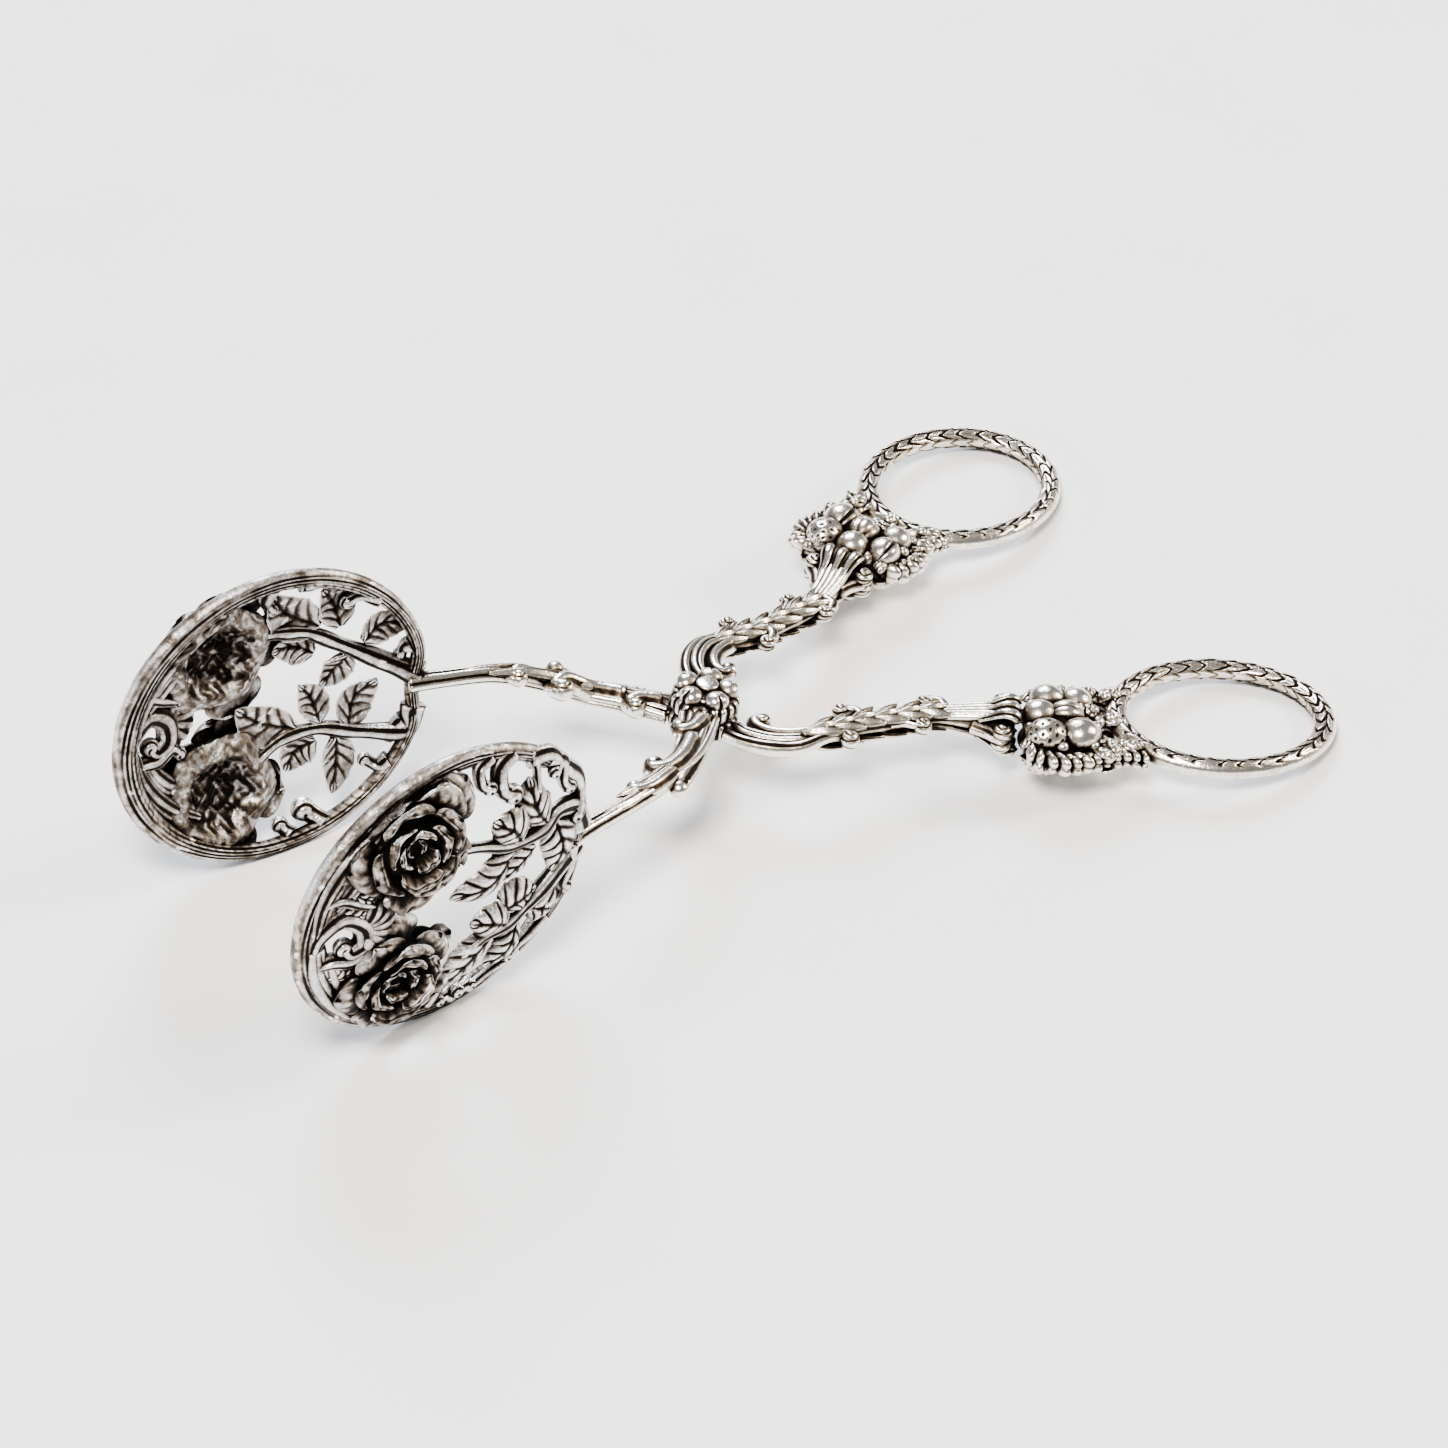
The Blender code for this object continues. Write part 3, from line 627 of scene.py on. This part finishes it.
def banded(t, a):
    """Relief of the rim: faint streaks along it, and chased lines on its faces and inside."""
    inward = np.cos(a)
    bend = 0.1 * np.sin(TURN * 3 * t + 1.0)
    line = sum(np.exp(-((inward - place - bend) / 0.09) ** 2) * (0.55 + 0.45 * np.sin(TURN * k * t + 2.1 * k))
               for k, place in ((3, 0.68), (7, 0.32), (4, -0.04), (9, -0.4)))
    dents = np.sin(TURN * 23 * t + 5 * inward) * np.sin(TURN * 41 * t - 3 * inward + 2 * np.sin(2 * a))
    nicks = np.clip(np.cos(TURN * 90 * t + 6 * inward) - 0.5, 0, 1)
    streaks = np.sin(16 * inward + 2 * np.sin(TURN * 5 * t) + np.sin(TURN * 13 * t))
    return (0.018 * dents + 0.025 * streaks - 0.24 * line,
            np.clip(0.12 - 0.03 * dents + 0.12 * streaks + 0.85 * line + 0.5 * nicks * (inward > 0.3), 0, 1))


def jaw_rim(arm):
    """Oval band, broad and reeded at its far end, with curled fingers all round its inside."""
    cast = Casting()
    a = around(600)[0]
    far = np.clip(-np.cos(a), 0, 1) ** 1.5
    high = np.clip(np.sin(a), 0, 1) ** 2
    low = np.clip(-np.sin(a), 0, 1) ** 2
    wide = 1.15 + 1.0 * far + 0.5 * high + 0.25 * low
    notch = 1.5 * np.exp(-(np.minimum(a, TURN - a) / 0.20) ** 2)
    path = on_jaw(np.stack([(RIM_HALF_LENGTH + RIM_EDGE - notch - wide) * np.cos(a), 0 * a,
                            (RIM_HALF_HEIGHT + RIM_EDGE - wide) * np.sin(a)], -1))
    hoop(cast, path, wide, 1.3 + 0.25 * far, OUT, 64, banded)
    for points, start, end in arm["fingers"]:
        points = np.array(points)
        points[0] *= 0.97                       # so that the finger's foot stays within the band
        path = curve(flat_on_jaw(points, np.linspace(0, 0.9, len(points))), 44)
        radius = ramp([1.7 * start, 1.35 * start, 1.15 * end, 1.25 * end], 44)
        tube(cast, path, radius, np.minimum(radius, 1.4), OUT, 30, flutes(4, 0.3, 0.1))
        orb(cast, path[-1], (1.55 * end, 1.55 * end, 1.4 * end), FACING_OUT, volute(1.6, 0.24), 28, 16)
    cast.make(arm, "blackened_and_shaded", "openwork_rim", "jaw_rim")


def petal(cast, centre, heading, start, reach, low, tall, spread, flare, ruffle):
    """Rose petal: a thin wall round the rose's axis that leans out and rolls over at its edge.

    Going up it, the distance from the axis grows from start to reach and the height from low
    to tall; the last part turns outwards and down by flare. Across, it covers spread radians
    to each side of its heading, with a ruffled and rounded edge.
    """
    t = np.linspace(0.0, 1.0, 32)[:, None]
    b = around(48)
    x, face = np.cos(b), np.sin(b)
    open_out = (0.5 + 0.5 * t ** 0.5) * np.clip(1 - t ** 9, 0.0004, 1) ** 0.5
    radius = start + (reach - start) * t ** 1.3 + flare * np.clip(t - 0.6, 0, 1) ** 2 * 4
    height = low + (tall - low) * np.sin(0.5 * math.pi * np.clip(1.15 * t, 0, 1.25))
    height = height - flare * np.clip(t - 0.7, 0, 1) ** 2 * 6 - 0.5 * x ** 2 * t * flare
    radius = radius + ruffle * t ** 2 * np.cos(5 * x + 3 * heading)
    height = height + 0.7 * ruffle * t ** 2 * np.sin(7 * x + 2 * heading)
    turn = heading + x * spread * open_out
    steep = np.clip((tall - low) / (reach - start + tall - low), 0.2, 0.95)
    radius = radius + PETAL_THICKNESS * face * steep
    height = height + PETAL_THICKNESS * face * (1 - steep)
    u, v = centre[0] + radius * np.cos(turn), centre[1] + radius * np.sin(turn)
    lines = np.clip(np.cos(15 * x + 2 * heading + 1.5 * np.sin(4 * t)) - 0.35, 0, 1) * 1.5
    lines = lines * (x ** 2 < 0.9)
    edge = np.clip((t - 0.72) * 5, 0, 1) + 0 * x
    recess = (np.clip(0.95 - 1.25 * t ** 1.6, 0, 1) + 0.7 * lines * t) * (1 - 0.85 * edge)
    recess = recess * np.where(face < 0, 0.6, 1.0)
    cast.close(inside_rim(u, height, v, PETAL_LIMIT), recess, inside_out=True)


# Rounds of petals: how many, then in millimetres the radius and height where each starts and
# ends, its half-angle, and how far its edge rolls over and ruffles
WHORLS = [(2, 1.0, 1.5, 1.3, 2.7, 1.2, 0.1, 0.15), (3, 2.2, 3.1, 1.4, 4.0, 0.92, 0.3, 0.25),
          (3, 3.7, 5.2, 1.3, 4.9, 0.95, 0.5, 0.3), (4, 5.2, 7.4, 1.0, 4.6, 0.78, 0.7, 0.4),
          (5, 5.4, 9.6, 0.7, 3.4, 0.62, 0.9, 0.5), (5, 5.4, 11.6, 0.3, 1.8, 0.56, 0.8, 0.55)]
# Half section of the disc behind the petals: radius and height, up its hollow back and over
ROSE_BACK = [(0.12, 1.3), (2.5, 1.1), (4.6, 0.5), (6.0, -0.9), (6.7, -1.3), (7.4, -1.1), (9.0, -0.1),
             (9.3, 0.25), (9.0, 0.6), (7.2, 0.9), (5.0, 1.3), (2.5, 1.9), (0.12, 1.9)]


def rose(arm, name, centre, size, phase):
    """Open rose: six rounds of petals about a deep heart, and a rough hollow behind."""
    cast = Casting()
    for order, (count, start, reach, low, tall, spread, flare, ruffle) in enumerate(WHORLS):
        for k in range(count):
            heading = phase + order * 1.1 + TURN * k / count + 0.12 * math.sin(5 * k + order)
            vary = 1 + 0.07 * math.sin(3.1 * k + 2 * order + phase)
            petal(cast, centre, heading, start * size, reach * size * vary, low, tall * vary, spread,
                  flare, ruffle)
    outline = curve(np.array(ROSE_BACK) * [size, 1], 90)
    a = around(120)
    r = np.clip(outline[:, :1], 0.05, None)
    x, y = r * np.cos(a), r * np.sin(a)
    lumps = (np.sin(1.0 * x + 0.6 * y + phase) * np.cos(0.9 * y - 0.4 * x)
             + 0.7 * np.sin(2.2 * x - 1.2 * y + 2 * np.sin(y))
             + 0.5 * np.cos(2.9 * y + 1.9 * x + 2 * np.sin(1.3 * x - phase))
             + 0.4 * np.sin(4.6 * x + 3 * np.sin(2.1 * y)))
    behind = np.linspace(1, 0, 90)[:, None] > 0.42
    radius = r * (1 + 0.05 * np.sin(5 * a + phase * 3) * (r > 5))
    height = outline[:, 1:] + (0.2 + 0.16 * (r < 6.6)) * lumps * np.clip(r / 1.5, 0, 1) * behind
    u, v = centre[0] + radius * np.cos(a), centre[1] + radius * np.sin(a)
    hollow = np.clip(1.25 - r / 6.4, 0, 1) * behind
    recess = 0.06 + 0.4 * hollow - (0.05 + 0.17 * (r < 6.4)) * lumps * behind + 0.8 * (1 - behind)
    cast.close(inside_rim(u, height, v, ROSE_BACK_LIMIT), recess, inside_out=True)
    cast.make(arm, "blackened_and_shaded", "petalled_" + name, name)


def knotted(t, a):
    """Relief of a bramble stem: long furrows and a few swellings."""
    swell = 0.12 * np.cos(TURN * 4 * t)
    furrow = 0.5 + 0.5 * np.cos(5 * a + 3 * t)
    return swell - 0.1 * (1 - furrow) ** 3, np.clip(1.2 * (1 - furrow) ** 3, 0, 1)


def spray(arm, name):
    """Bramble stem and its broad leaves, each on a short stalk."""
    cast = Casting()
    stem, leaves = arm[name]
    path = flat_on_jaw(curve(stem, 110), 0.2)
    tube(cast, path, [2.3, 1.6, 1.3, 1.15, 1.0], [1.5, 1.3, 1.2, 1.1, 1.0], OUT, 36, knotted)
    for order, (base, tip, width) in enumerate(leaves):
        base, tip = np.array(base, float), np.array(tip, float)
        bend = np.array([tip[1] - base[1], base[0] - tip[0]]) * (0.10 if order % 2 else -0.10)
        points = flat_on_jaw([base, (base + tip) / 2 + bend, tip], [0.3, 1.3 + 0.3 * (order % 3), 0.7])
        leaf(cast, points, 1.18 * width, OUT, 0.55, 5, 4.5, 0.34, 72)
    cast.make(arm, "blackened_and_shaded", "bramble_" + name, name)


# Routes on the jaw's plate, as (along, up): scrolls with their radius, and reeded sweeps up and
# down the rim with how far apart their rods begin and finish
SCROLLS = [([(-24.6, -4.6), (-24.2, -0.4), (-21.2, 3.0), (-17.6, 1.2), (-16.8, -2.4), (-18.8, -4.0),
             (-20.2, -2.8)], 1.8),
           ([(-24.4, -7.0), (-22.0, -5.6), (-18.8, -5.6), (-16.2, -4.2), (-14.4, -5.6)], 1.3),
           ([(-25.0, 5.0), (-22.0, 6.8), (-18.6, 5.6), (-15.6, 4.4)], 1.2)]
SWEEPS = [([(-26.0, 0.0), (-25.2, 6.6), (-22.0, 12.6), (-17.6, 16.6), (-14.0, 19.6)], 0.78, 1.76),
          ([(-23.6, 5.0), (-21.0, 9.0), (-18.6, 12.0), (-18.0, 15.0)], 0.65, 1.43),
          ([(-26.0, -3.0), (-24.6, -8.4), (-21.4, -13.4), (-17.0, -17.6), (-12.6, -20.4)], 0.78, 1.76),
          ([(-22.8, -6.0), (-20.8, -9.4), (-18.4, -12.0), (-16.6, -13.0)], 0.65, 1.54)]
# Foot, tip and half-width
SHELL_LEAVES = [((-21.6, 8.6), (-15.4, 5.4), 1.8), ((-22.4, -9.4), (-17.0, -6.9), 1.8),
                ((-20.6, -13.6), (-15.0, -14.2), 1.7), ((-22.0, 4.4), (-16.4, 3.6), 1.6)]


def jaw_shell(arm):
    """Ribbed shell on a C-scroll, between leaves that run up and down the rim."""
    cast = Casting()
    foot = np.array([-17.6, 0.6])
    for heading in np.radians([-62, -36, -10, 16, 42, 68]):
        way = np.array([math.cos(heading), math.sin(heading)])
        path = curve(flat_on_jaw([foot, foot + way * 2.6, foot + way * 5.4], [0.4, 1.3, 0.8]), 26)
        tube(cast, path, [0.6, 1.2, 1.6, 1.2], [0.7, 1.0, 1.2, 0.9], OUT, 26, flutes(3, 0.16, 0.16))
    for points, radius in SCROLLS:
        path = curve(flat_on_jaw(points, 0.7), 80)
        tube(cast, path, [radius * 0.5, radius, radius, radius * 0.7],
             [0.8, 1.5, 1.5, 1.1], OUT, 32, flutes(5, 0.28, 0.16))
        orb(cast, path[-1], (radius * 0.95, radius * 0.95, 1.3), FACING_OUT, volute(1.8, 0.22), 30, 18)
    for points, begin, finish in SWEEPS:
        path = curve(flat_on_jaw(np.array(points) * 0.93, 0.5), 60)
        reeds(cast, path, 3, begin, finish, [0.8, 1.25, 1.15, 0.6], OUT, 0.2,
              flutes(3, 0.1, 0.16))
    for base, tip, width in SHELL_LEAVES:
        middle = (np.array(base) + tip) / 2
        leaf(cast, flat_on_jaw([base, middle, tip], [0.5, 1.6, 0.9]), width, OUT, 0.7, 3, 5, 0.4, 44)
    cast.make(arm, "blackened_and_shaded", "ribbed_shell", "jaw_shell")


# -------- rivet

def turned(cast, outline):
    """A (radius, height) outline turned about the rivet's axis."""
    rows = np.asarray(outline, float)
    a = around(96)
    radius = rows[:, :1] + 0 * a
    grid = np.stack([radius * np.cos(a), radius * np.sin(a), rows[:, 1:] + 0 * radius], -1)
    cast.close(grid, 0.0)


def cleft(t, a):
    """Relief of a rosette petal: a cleft down its middle."""
    notch = np.exp(-((np.abs(a - math.pi) - math.pi) / 0.22) ** 2)
    return -0.3 * notch, 0.9 * notch


def rivet(arm):
    """Flat-headed rivet among the round petals of its rosette, and a washer behind."""
    cast = Casting()
    turned(cast, [(0.05, -5.3), (2.0, -5.3), (2.5, -4.9), (2.6, -4.5), (1.7, -4.45), (1.7, 3.6),
                  (1.75, 3.7), (1.8, 4.95), (1.7, 5.12), (1.45, 5.2), (0.05, 5.24)])
    cast.make(arm, "silver", "flat_headed_rivet", "pivot_rivet")
    cast, seat = Casting(), ROSETTE_SEAT
    turned(cast, [(0.3, seat), (3.6, seat), (4.0, seat + 0.2), (3.6, seat + 0.5), (0.3, seat + 0.6)])
    for k in range(5):
        axes = level_axes(TURN * (k + 0.35) / 5)
        orb(cast, axes[0] * 3.5 + UP * (seat + 0.35), (1.9, 2.05, 1.45), axes, cleft, 56, 30)
    cast.make(arm, "silver", "petalled_rosette", "rivet_rosette")
    cast, seat = Casting(), WASHER_SEAT
    turned(cast, [(0.3, seat - 0.6), (3.2, seat - 0.6), (3.4, seat - 0.45), (3.4, seat - 0.15),
                  (3.2, seat), (0.3, seat)])
    cast.make(arm, "silver", "back_washer", "rivet_washer")


# -------- material

def linear(hex_colour):
    """sRGB hex colour to linear red, green, blue and alpha."""
    values = [int(hex_colour[i:i + 2], 16) / 255 for i in (1, 3, 5)]
    return [v / 12.92 if v <= 0.04045 else ((v + 0.055) / 1.055) ** 2.4 for v in values] + [1.0]


def node(tree, kind, inputs=None, **settings):
    """Add a node with its settings; an input given as a socket is linked, otherwise set."""
    item = tree.nodes.new(kind)
    for name, value in settings.items():
        setattr(item, name, value)
    for name, value in (inputs or {}).items():
        socket = item.inputs[name]
        if isinstance(value, bpy.types.NodeSocket):
            tree.links.new(value, socket)
        else:
            socket.default_value = value
    return item


def ramp_stops(item, stops):
    """Set a colour ramp's stops from (place, hex colour) pairs."""
    elements = item.color_ramp.elements
    while len(elements) < len(stops):
        elements.new(0.5)
    for element, (place, colour) in zip(elements, stops):
        element.position = place
        element.color = linear(colour)


def new_material(name):
    """An empty metal or paint: the material, its node tree and its shader."""
    material = bpy.data.materials.new(name)
    material.use_nodes = True
    return material, material.node_tree, material.node_tree.nodes["Principled BSDF"]


# Where the colours stand on the scale from bare metal to black: the dark end is thick sulphide, and also
# painted shade where neighbouring walls stand close
FILM_AND_SHADE_STOPS = (0.38, 0.54, 0.66, 0.78, 0.93)


def oxidised_silver(name, film_and_shade_base, polish, casting, film_and_shade_colours):
    """Cast sterling silver, sulphide-blackened and then polished back on its high points.

    The recess attribute holds the dark sulphide, which thins to brown and tan at its edge, and an
    ambient-occlusion node adds painted shade wherever neighbouring walls stand close; the open metal
    is white, with a fine pitted casting skin. The second argument is how much sulphide is left, set
    higher for the jaws as painted shade too; polish is the roughness of the open metal, casting the
    depth of the skin in millimetres, and the last argument the colours from bare metal to black, for
    the sulphide and the painted shade alike.
    """
    material, tree, shader = new_material(name)
    place = node(tree, "ShaderNodeTexCoord").outputs["Object"]
    recess = node(tree, "ShaderNodeAttribute", attribute_name="recess").outputs["Fac"]
    # Painted shade: an ambient-occlusion node darkens the colour where neighbouring walls stand close, on top
    # of the sulphide that the recess attribute marks
    occlusion_shade = node(tree, "ShaderNodeAmbientOcclusion", {"Distance": 2.8 * MM}, samples=8).outputs["AO"]
    edges = node(tree, "ShaderNodeNewGeometry").outputs["Pointiness"]
    blotch = node(tree, "ShaderNodeTexNoise", {"Vector": place, "Scale": 380.0, "Detail": 6.0,
                                               "Roughness": 0.65}).outputs["Fac"]
    fine = node(tree, "ShaderNodeTexNoise", {"Vector": place, "Scale": 1900.0, "Detail": 4.0}).outputs["Fac"]
    closed = node(tree, "ShaderNodeMapRange", {"Value": occlusion_shade, "From Min": 0.95,
                                               "From Max": 0.35}).outputs[0]
    worn = node(tree, "ShaderNodeMapRange", {"Value": edges, "From Min": 0.49, "From Max": 0.56}).outputs[0]
    deepest_patina_and_shade = node(tree, "ShaderNodeMath", {0: closed, 1: recess}, operation="MAXIMUM").outputs[0]
    patina_and_painted_shade = node(tree, "ShaderNodeMath", {0: closed, 1: 0.25, 2: deepest_patina_and_shade},
                     operation="MULTIPLY_ADD").outputs[0]
    # From here the value holds the sulphide and the painted shade together, and wear on sharp edges thins it
    film_and_shade = film_and_shade_base
    for source, share in ((patina_and_painted_shade, 0.72), (blotch, 0.6), (worn, -0.3)):
        film_and_shade = node(tree, "ShaderNodeMath", {0: source, 1: share, 2: film_and_shade},
                    operation="MULTIPLY_ADD").outputs[0]
    speckled = node(tree, "ShaderNodeMath", {0: fine, 1: 0.22, 2: film_and_shade}, operation="MULTIPLY_ADD")
    colour = node(tree, "ShaderNodeValToRGB", {"Fac": speckled.outputs[0]})
    ramp_stops(colour, list(zip(FILM_AND_SHADE_STOPS, film_and_shade_colours)))
    dull = node(tree, "ShaderNodeMapRange", {"Value": film_and_shade, "From Min": 0.3, "From Max": 0.85,
                                             "To Min": polish, "To Max": 0.6})
    grain = node(tree, "ShaderNodeMath", {0: fine, 1: 0.45, 2: blotch}, operation="MULTIPLY_ADD")
    bump = node(tree, "ShaderNodeBump", {"Height": grain.outputs[0], "Strength": 0.6,
                                         "Distance": casting * MM})
    tree.links.new(colour.outputs["Color"], shader.inputs["Base Color"])
    tree.links.new(dull.outputs[0], shader.inputs["Roughness"])
    tree.links.new(bump.outputs["Normal"], shader.inputs["Normal"])
    shader.inputs["Metallic"].default_value = 1.0
    return material


def floor_paint():
    """Matt white studio board, with a faint mottle."""
    material, tree, shader = new_material("white_studio_board")
    place = node(tree, "ShaderNodeTexCoord").outputs["Object"]
    mottle = node(tree, "ShaderNodeTexNoise", {"Vector": place, "Scale": 30.0, "Detail": 4.0})
    tone = node(tree, "ShaderNodeValToRGB", {"Fac": mottle.outputs["Fac"]})
    ramp_stops(tone, [(0.3, "#f6f6f6"), (0.7, "#fafafa")])
    tree.links.new(tone.outputs["Color"], shader.inputs["Base Color"])
    shader.inputs["Roughness"].default_value = 0.8
    return material


# -------- camera and light

CAMERA_AZIMUTH = -33.90        # degrees
CAMERA_ELEVATION = 39.38
CAMERA_LEAN = -0.434           # a small turn of the whole view about Y
CAMERA_DISTANCE = 1281.65      # millimetres from the rivet
CAMERA_OFFSET = (3.26, -2.47)  # millimetres right and up from the rivet that the view centres on
CAMERA_LENS = 198.9            # millimetres


def add_to_scene(name, data):
    """A new object with this data, linked to the scene."""
    item = bpy.data.objects.new(name, data)
    bpy.context.scene.collection.objects.link(item)
    return item


def add_camera():
    """Long-lens camera above and to the side of the near jaw."""
    az, el = math.radians(CAMERA_AZIMUTH), math.radians(CAMERA_ELEVATION)
    back = np.array([math.sin(az) * math.cos(el), -math.cos(az) * math.cos(el), math.sin(el)])
    right = np.array([math.cos(az), math.sin(az), 0.0])
    up = np.cross(back, right)
    lean = leaning(math.radians(CAMERA_LEAN))
    place = (back * CAMERA_DISTANCE + right * CAMERA_OFFSET[0] + up * CAMERA_OFFSET[1]) * MM
    right, up, back, place = (v @ lean for v in (right, up, back, place))
    data = bpy.data.cameras.new("studio_camera")
    data.lens = CAMERA_LENS
    data.clip_end = 20.0
    camera = add_to_scene("studio_camera", data)
    matrix = Matrix(np.column_stack([right, up, back]).tolist()).to_4x4()
    matrix.translation = Vector(PIVOT + place)
    camera.matrix_world = matrix
    bpy.context.scene.camera = camera


def add_softbox(name, place, size, power, colour):
    """Square area light that faces the tongs."""
    data = bpy.data.lights.new(name, "AREA")
    data.size = size
    data.energy = power
    data.color = linear(colour)[:3]
    light = add_to_scene(name, data)
    light.location = place
    light.rotation_euler = (-Vector(place)).to_track_quat("-Z", "Y").to_euler()


def add_studio():
    """White board, four soft lights and an even grey surround."""
    floor_mesh = bpy.data.meshes.new("studio_floor")
    floor_mesh.from_pydata([(-4, -4, 0), (4, -4, 0), (4, 4, 0), (-4, 4, 0)], [], [(0, 1, 2, 3)])
    floor_mesh.materials.append(floor_paint())
    floor = add_to_scene("studio_floor", floor_mesh)
    add_softbox("key_softbox", (-0.45, -0.40, 1.05), 0.36, 33.0, "#fffaf4")
    add_softbox("right_softbox", (0.95, -0.35, 0.60), 0.26, 15.0, "#fff3e2")
    add_softbox("back_softbox", (0.40, 0.90, 0.85), 0.55, 30.0, "#f0f4ff")
    add_softbox("left_strip", (-1.1, 0.25, 0.35), 0.22, 6.0, "#eef4ff")
    world = bpy.data.worlds.new("studio_world")
    bpy.context.scene.world = world
    world.use_nodes = True
    background = world.node_tree.nodes["Background"]
    background.inputs["Color"].default_value = linear("#b4b4b4")
    background.inputs["Strength"].default_value = 0.5


# -------- assembly

# Each jaw's own layout, as (along, up) on its plate: a rose's middle, size and turn, a spray's stem
# and its leaves as foot, tip and half-width, and a finger's route with its size at foot and tip
ARM_A = {
    "suffix": "_a", "body": "arm_a", "side": 1, "level": 1,
    "roses": {"upper_rose": ((-10.8, 14.6), 1.03, 0.3), "lower_rose": ((-10.4, -11.2), 0.98, 1.4)},
    "upper_spray": (
        [(25.6, 3.4), (23.8, 8.0), (19.6, 9.6), (16.0, 7.6), (10.4, 7.0), (4.4, 8.6), (-1.0, 10.0)],
        [((16.6, 8.8), (12.0, 18.6), 2.9), ((11.4, 7.4), (5.2, 13.2), 3.2),
         ((10.4, 5.8), (-1.2, 0.6), 2.8), ((14.6, 5.4), (8.6, 0.8), 2.3), ((18.6, 8.4), (19.6, -1.6), 2.8)]),
    "lower_spray": (
        [(26.0, -0.6), (21.4, -3.0), (16.2, -6.8), (12.0, -9.4), (6.6, -11.0), (2.4, -15.2), (0.4, -22.8)],
        [((10.0, -6.0), (16.4, -3.4), 3.2), ((11.8, -9.4), (4.0, -6.2), 3.1),
         ((15.6, -7.6), (22.4, -10.6), 2.8), ((9.0, -10.8), (1.4, -18.6), 2.8),
         ((14.0, -9.8), (9.4, -17.6), 2.3)]),
    "fingers": [
        ([(4.6, 24.6), (2.4, 22.9), (2.4, 20.8), (3.8, 19.8)], 0.85, 0.85),
        ([(9.4, 23.6), (6.4, 21.8), (6.4, 18.8), (8.4, 17.4)], 1.2, 1.15),
        ([(13.6, 22.6), (14.0, 19.6), (13.8, 16.0)], 0.7, 0.6),
        ([(13.6, 21.4), (16.6, 20.6), (19.0, 18.6), (17.8, 17.2)], 1.1, 0.75),
        ([(17.6, 19.8), (19.8, 17.8), (20.2, 14.6), (21.4, 13.2)], 1.0, 0.8),
        ([(20.6, 17.0), (23.0, 14.0), (24.4, 10.4), (23.4, 7.4)], 1.25, 1.0),
        ([(25.0, 0.6), (24.2, -3.2), (23.6, -6.4), (24.8, -8.0)], 1.1, 0.8),
        ([(22.6, -14.0), (19.0, -15.2), (16.4, -16.4), (14.6, -17.8)], 0.9, 0.7),
        ([(17.8, -19.2), (13.0, -20.0), (8.6, -21.6)], 0.9, 0.6),
        ([(9.0, -23.2), (7.2, -21.6), (5.4, -21.4)], 1.0, 0.8),
        ([(5.4, -24.0), (3.4, -22.2), (2.2, -22.4)], 1.0, 0.7)]}
ARM_B = {
    "suffix": "_b", "body": "arm_b", "side": -1, "level": -1,
    "roses": {"upper_rose": ((-9.4, 11.0), 1.06, 2.1), "lower_rose": ((-7.0, -14.2), 1.08, 0.7)},
    "upper_spray": (
        [(26.6, 1.6), (20.4, 4.6), (13.2, 8.6), (7.0, 12.0), (2.4, 12.8), (-1.6, 13.2)],
        [((9.0, 13.0), (-0.6, 20.6), 3.3), ((12.6, 12.2), (8.6, 20.0), 2.8),
         ((17.0, 8.6), (24.4, 11.8), 2.6), ((8.6, 8.0), (1.2, 9.2), 2.5), ((14.6, 6.6), (10.6, 1.0), 2.5)]),
    "lower_spray": (
        [(26.0, -4.0), (24.8, -8.4), (17.4, -8.2), (10.4, -6.6), (4.4, -7.2), (-0.6, -10.4)],
        [((6.2, -5.6), (-4.4, -0.2), 3.1), ((10.6, -5.6), (6.8, 1.8), 2.3),
         ((15.6, -7.4), (20.4, 0.6), 2.9), ((10.0, -8.4), (5.2, -13.6), 2.9),
         ((13.6, -8.6), (13.2, -18.6), 2.5)]),
    "fingers": [
        ([(-1.6, 24.6), (-1.6, 20.4), (0.2, 17.6)], 1.1, 0.8),
        ([(4.4, 24.2), (6.4, 22.4), (8.4, 22.4)], 1.1, 1.0),
        ([(18.6, 18.6), (15.4, 18.4), (13.4, 16.8)], 1.1, 0.9),
        ([(25.4, 8.0), (23.8, 7.0), (23.6, 5.2)], 1.0, 0.8),
        ([(25.2, -6.6), (23.4, -7.6), (22.8, -9.6)], 1.0, 0.9),
        ([(22.8, -13.6), (20.6, -14.4), (18.8, -13.6)], 1.0, 0.8),
        ([(11.2, -23.2), (9.8, -21.6), (8.2, -20.6)], 1.1, 1.35),
        ([(5.4, -24.4), (4.8, -23.2), (4.0, -22.4)], 0.9, 0.95),
        ([(-12.0, 22.6), (-9.8, 20.4), (-8.6, 19.6)], 1.0, 0.8)]}


def build_arm(arm):
    """Every piece of one arm, from the hub outwards."""
    for piece in (hub_eye, jaw_arm, handle_stem, scroll_collar, fruit_cluster, finger_ring, jaw_rim):
        piece(arm)
    for name, (centre, size, phase) in arm["roses"].items():
        rose(arm, name, centre, size, phase)
    spray(arm, "upper_spray")
    spray(arm, "lower_spray")
    jaw_shell(arm)


def main():
    """Studio, finishes, both arms and the rivet, which is fixed in arm B."""
    add_camera()
    add_studio()
    bright = oxidised_silver("oxidised_cast_silver", 0.11, 0.20, 0.2,
                             ("#f7f2e8", "#cbbfad", "#85745f", "#3c3025", "#0f0c09"))
    # The jaws' finish is partly real and partly painted: their openwork keeps more sulphide than the handles,
    # and the whole finish is also set darker and cooler as painted shade and painted reflection, for the
    # dark, bluish surroundings the jaws mirror
    dark = oxidised_silver("blackened_and_shaded_cast_silver", 0.20, 0.22, 0.55,
                           ("#f1f3f5", "#bdbab6", "#74695e", "#352c25", "#0d0b09"))
    finishes = {"silver": bright, "blackened_and_shaded": dark}
    build_arm(ARM_A | finishes)
    build_arm(ARM_B | finishes)
    rivet(ARM_B | finishes | {"suffix": ""})


main()
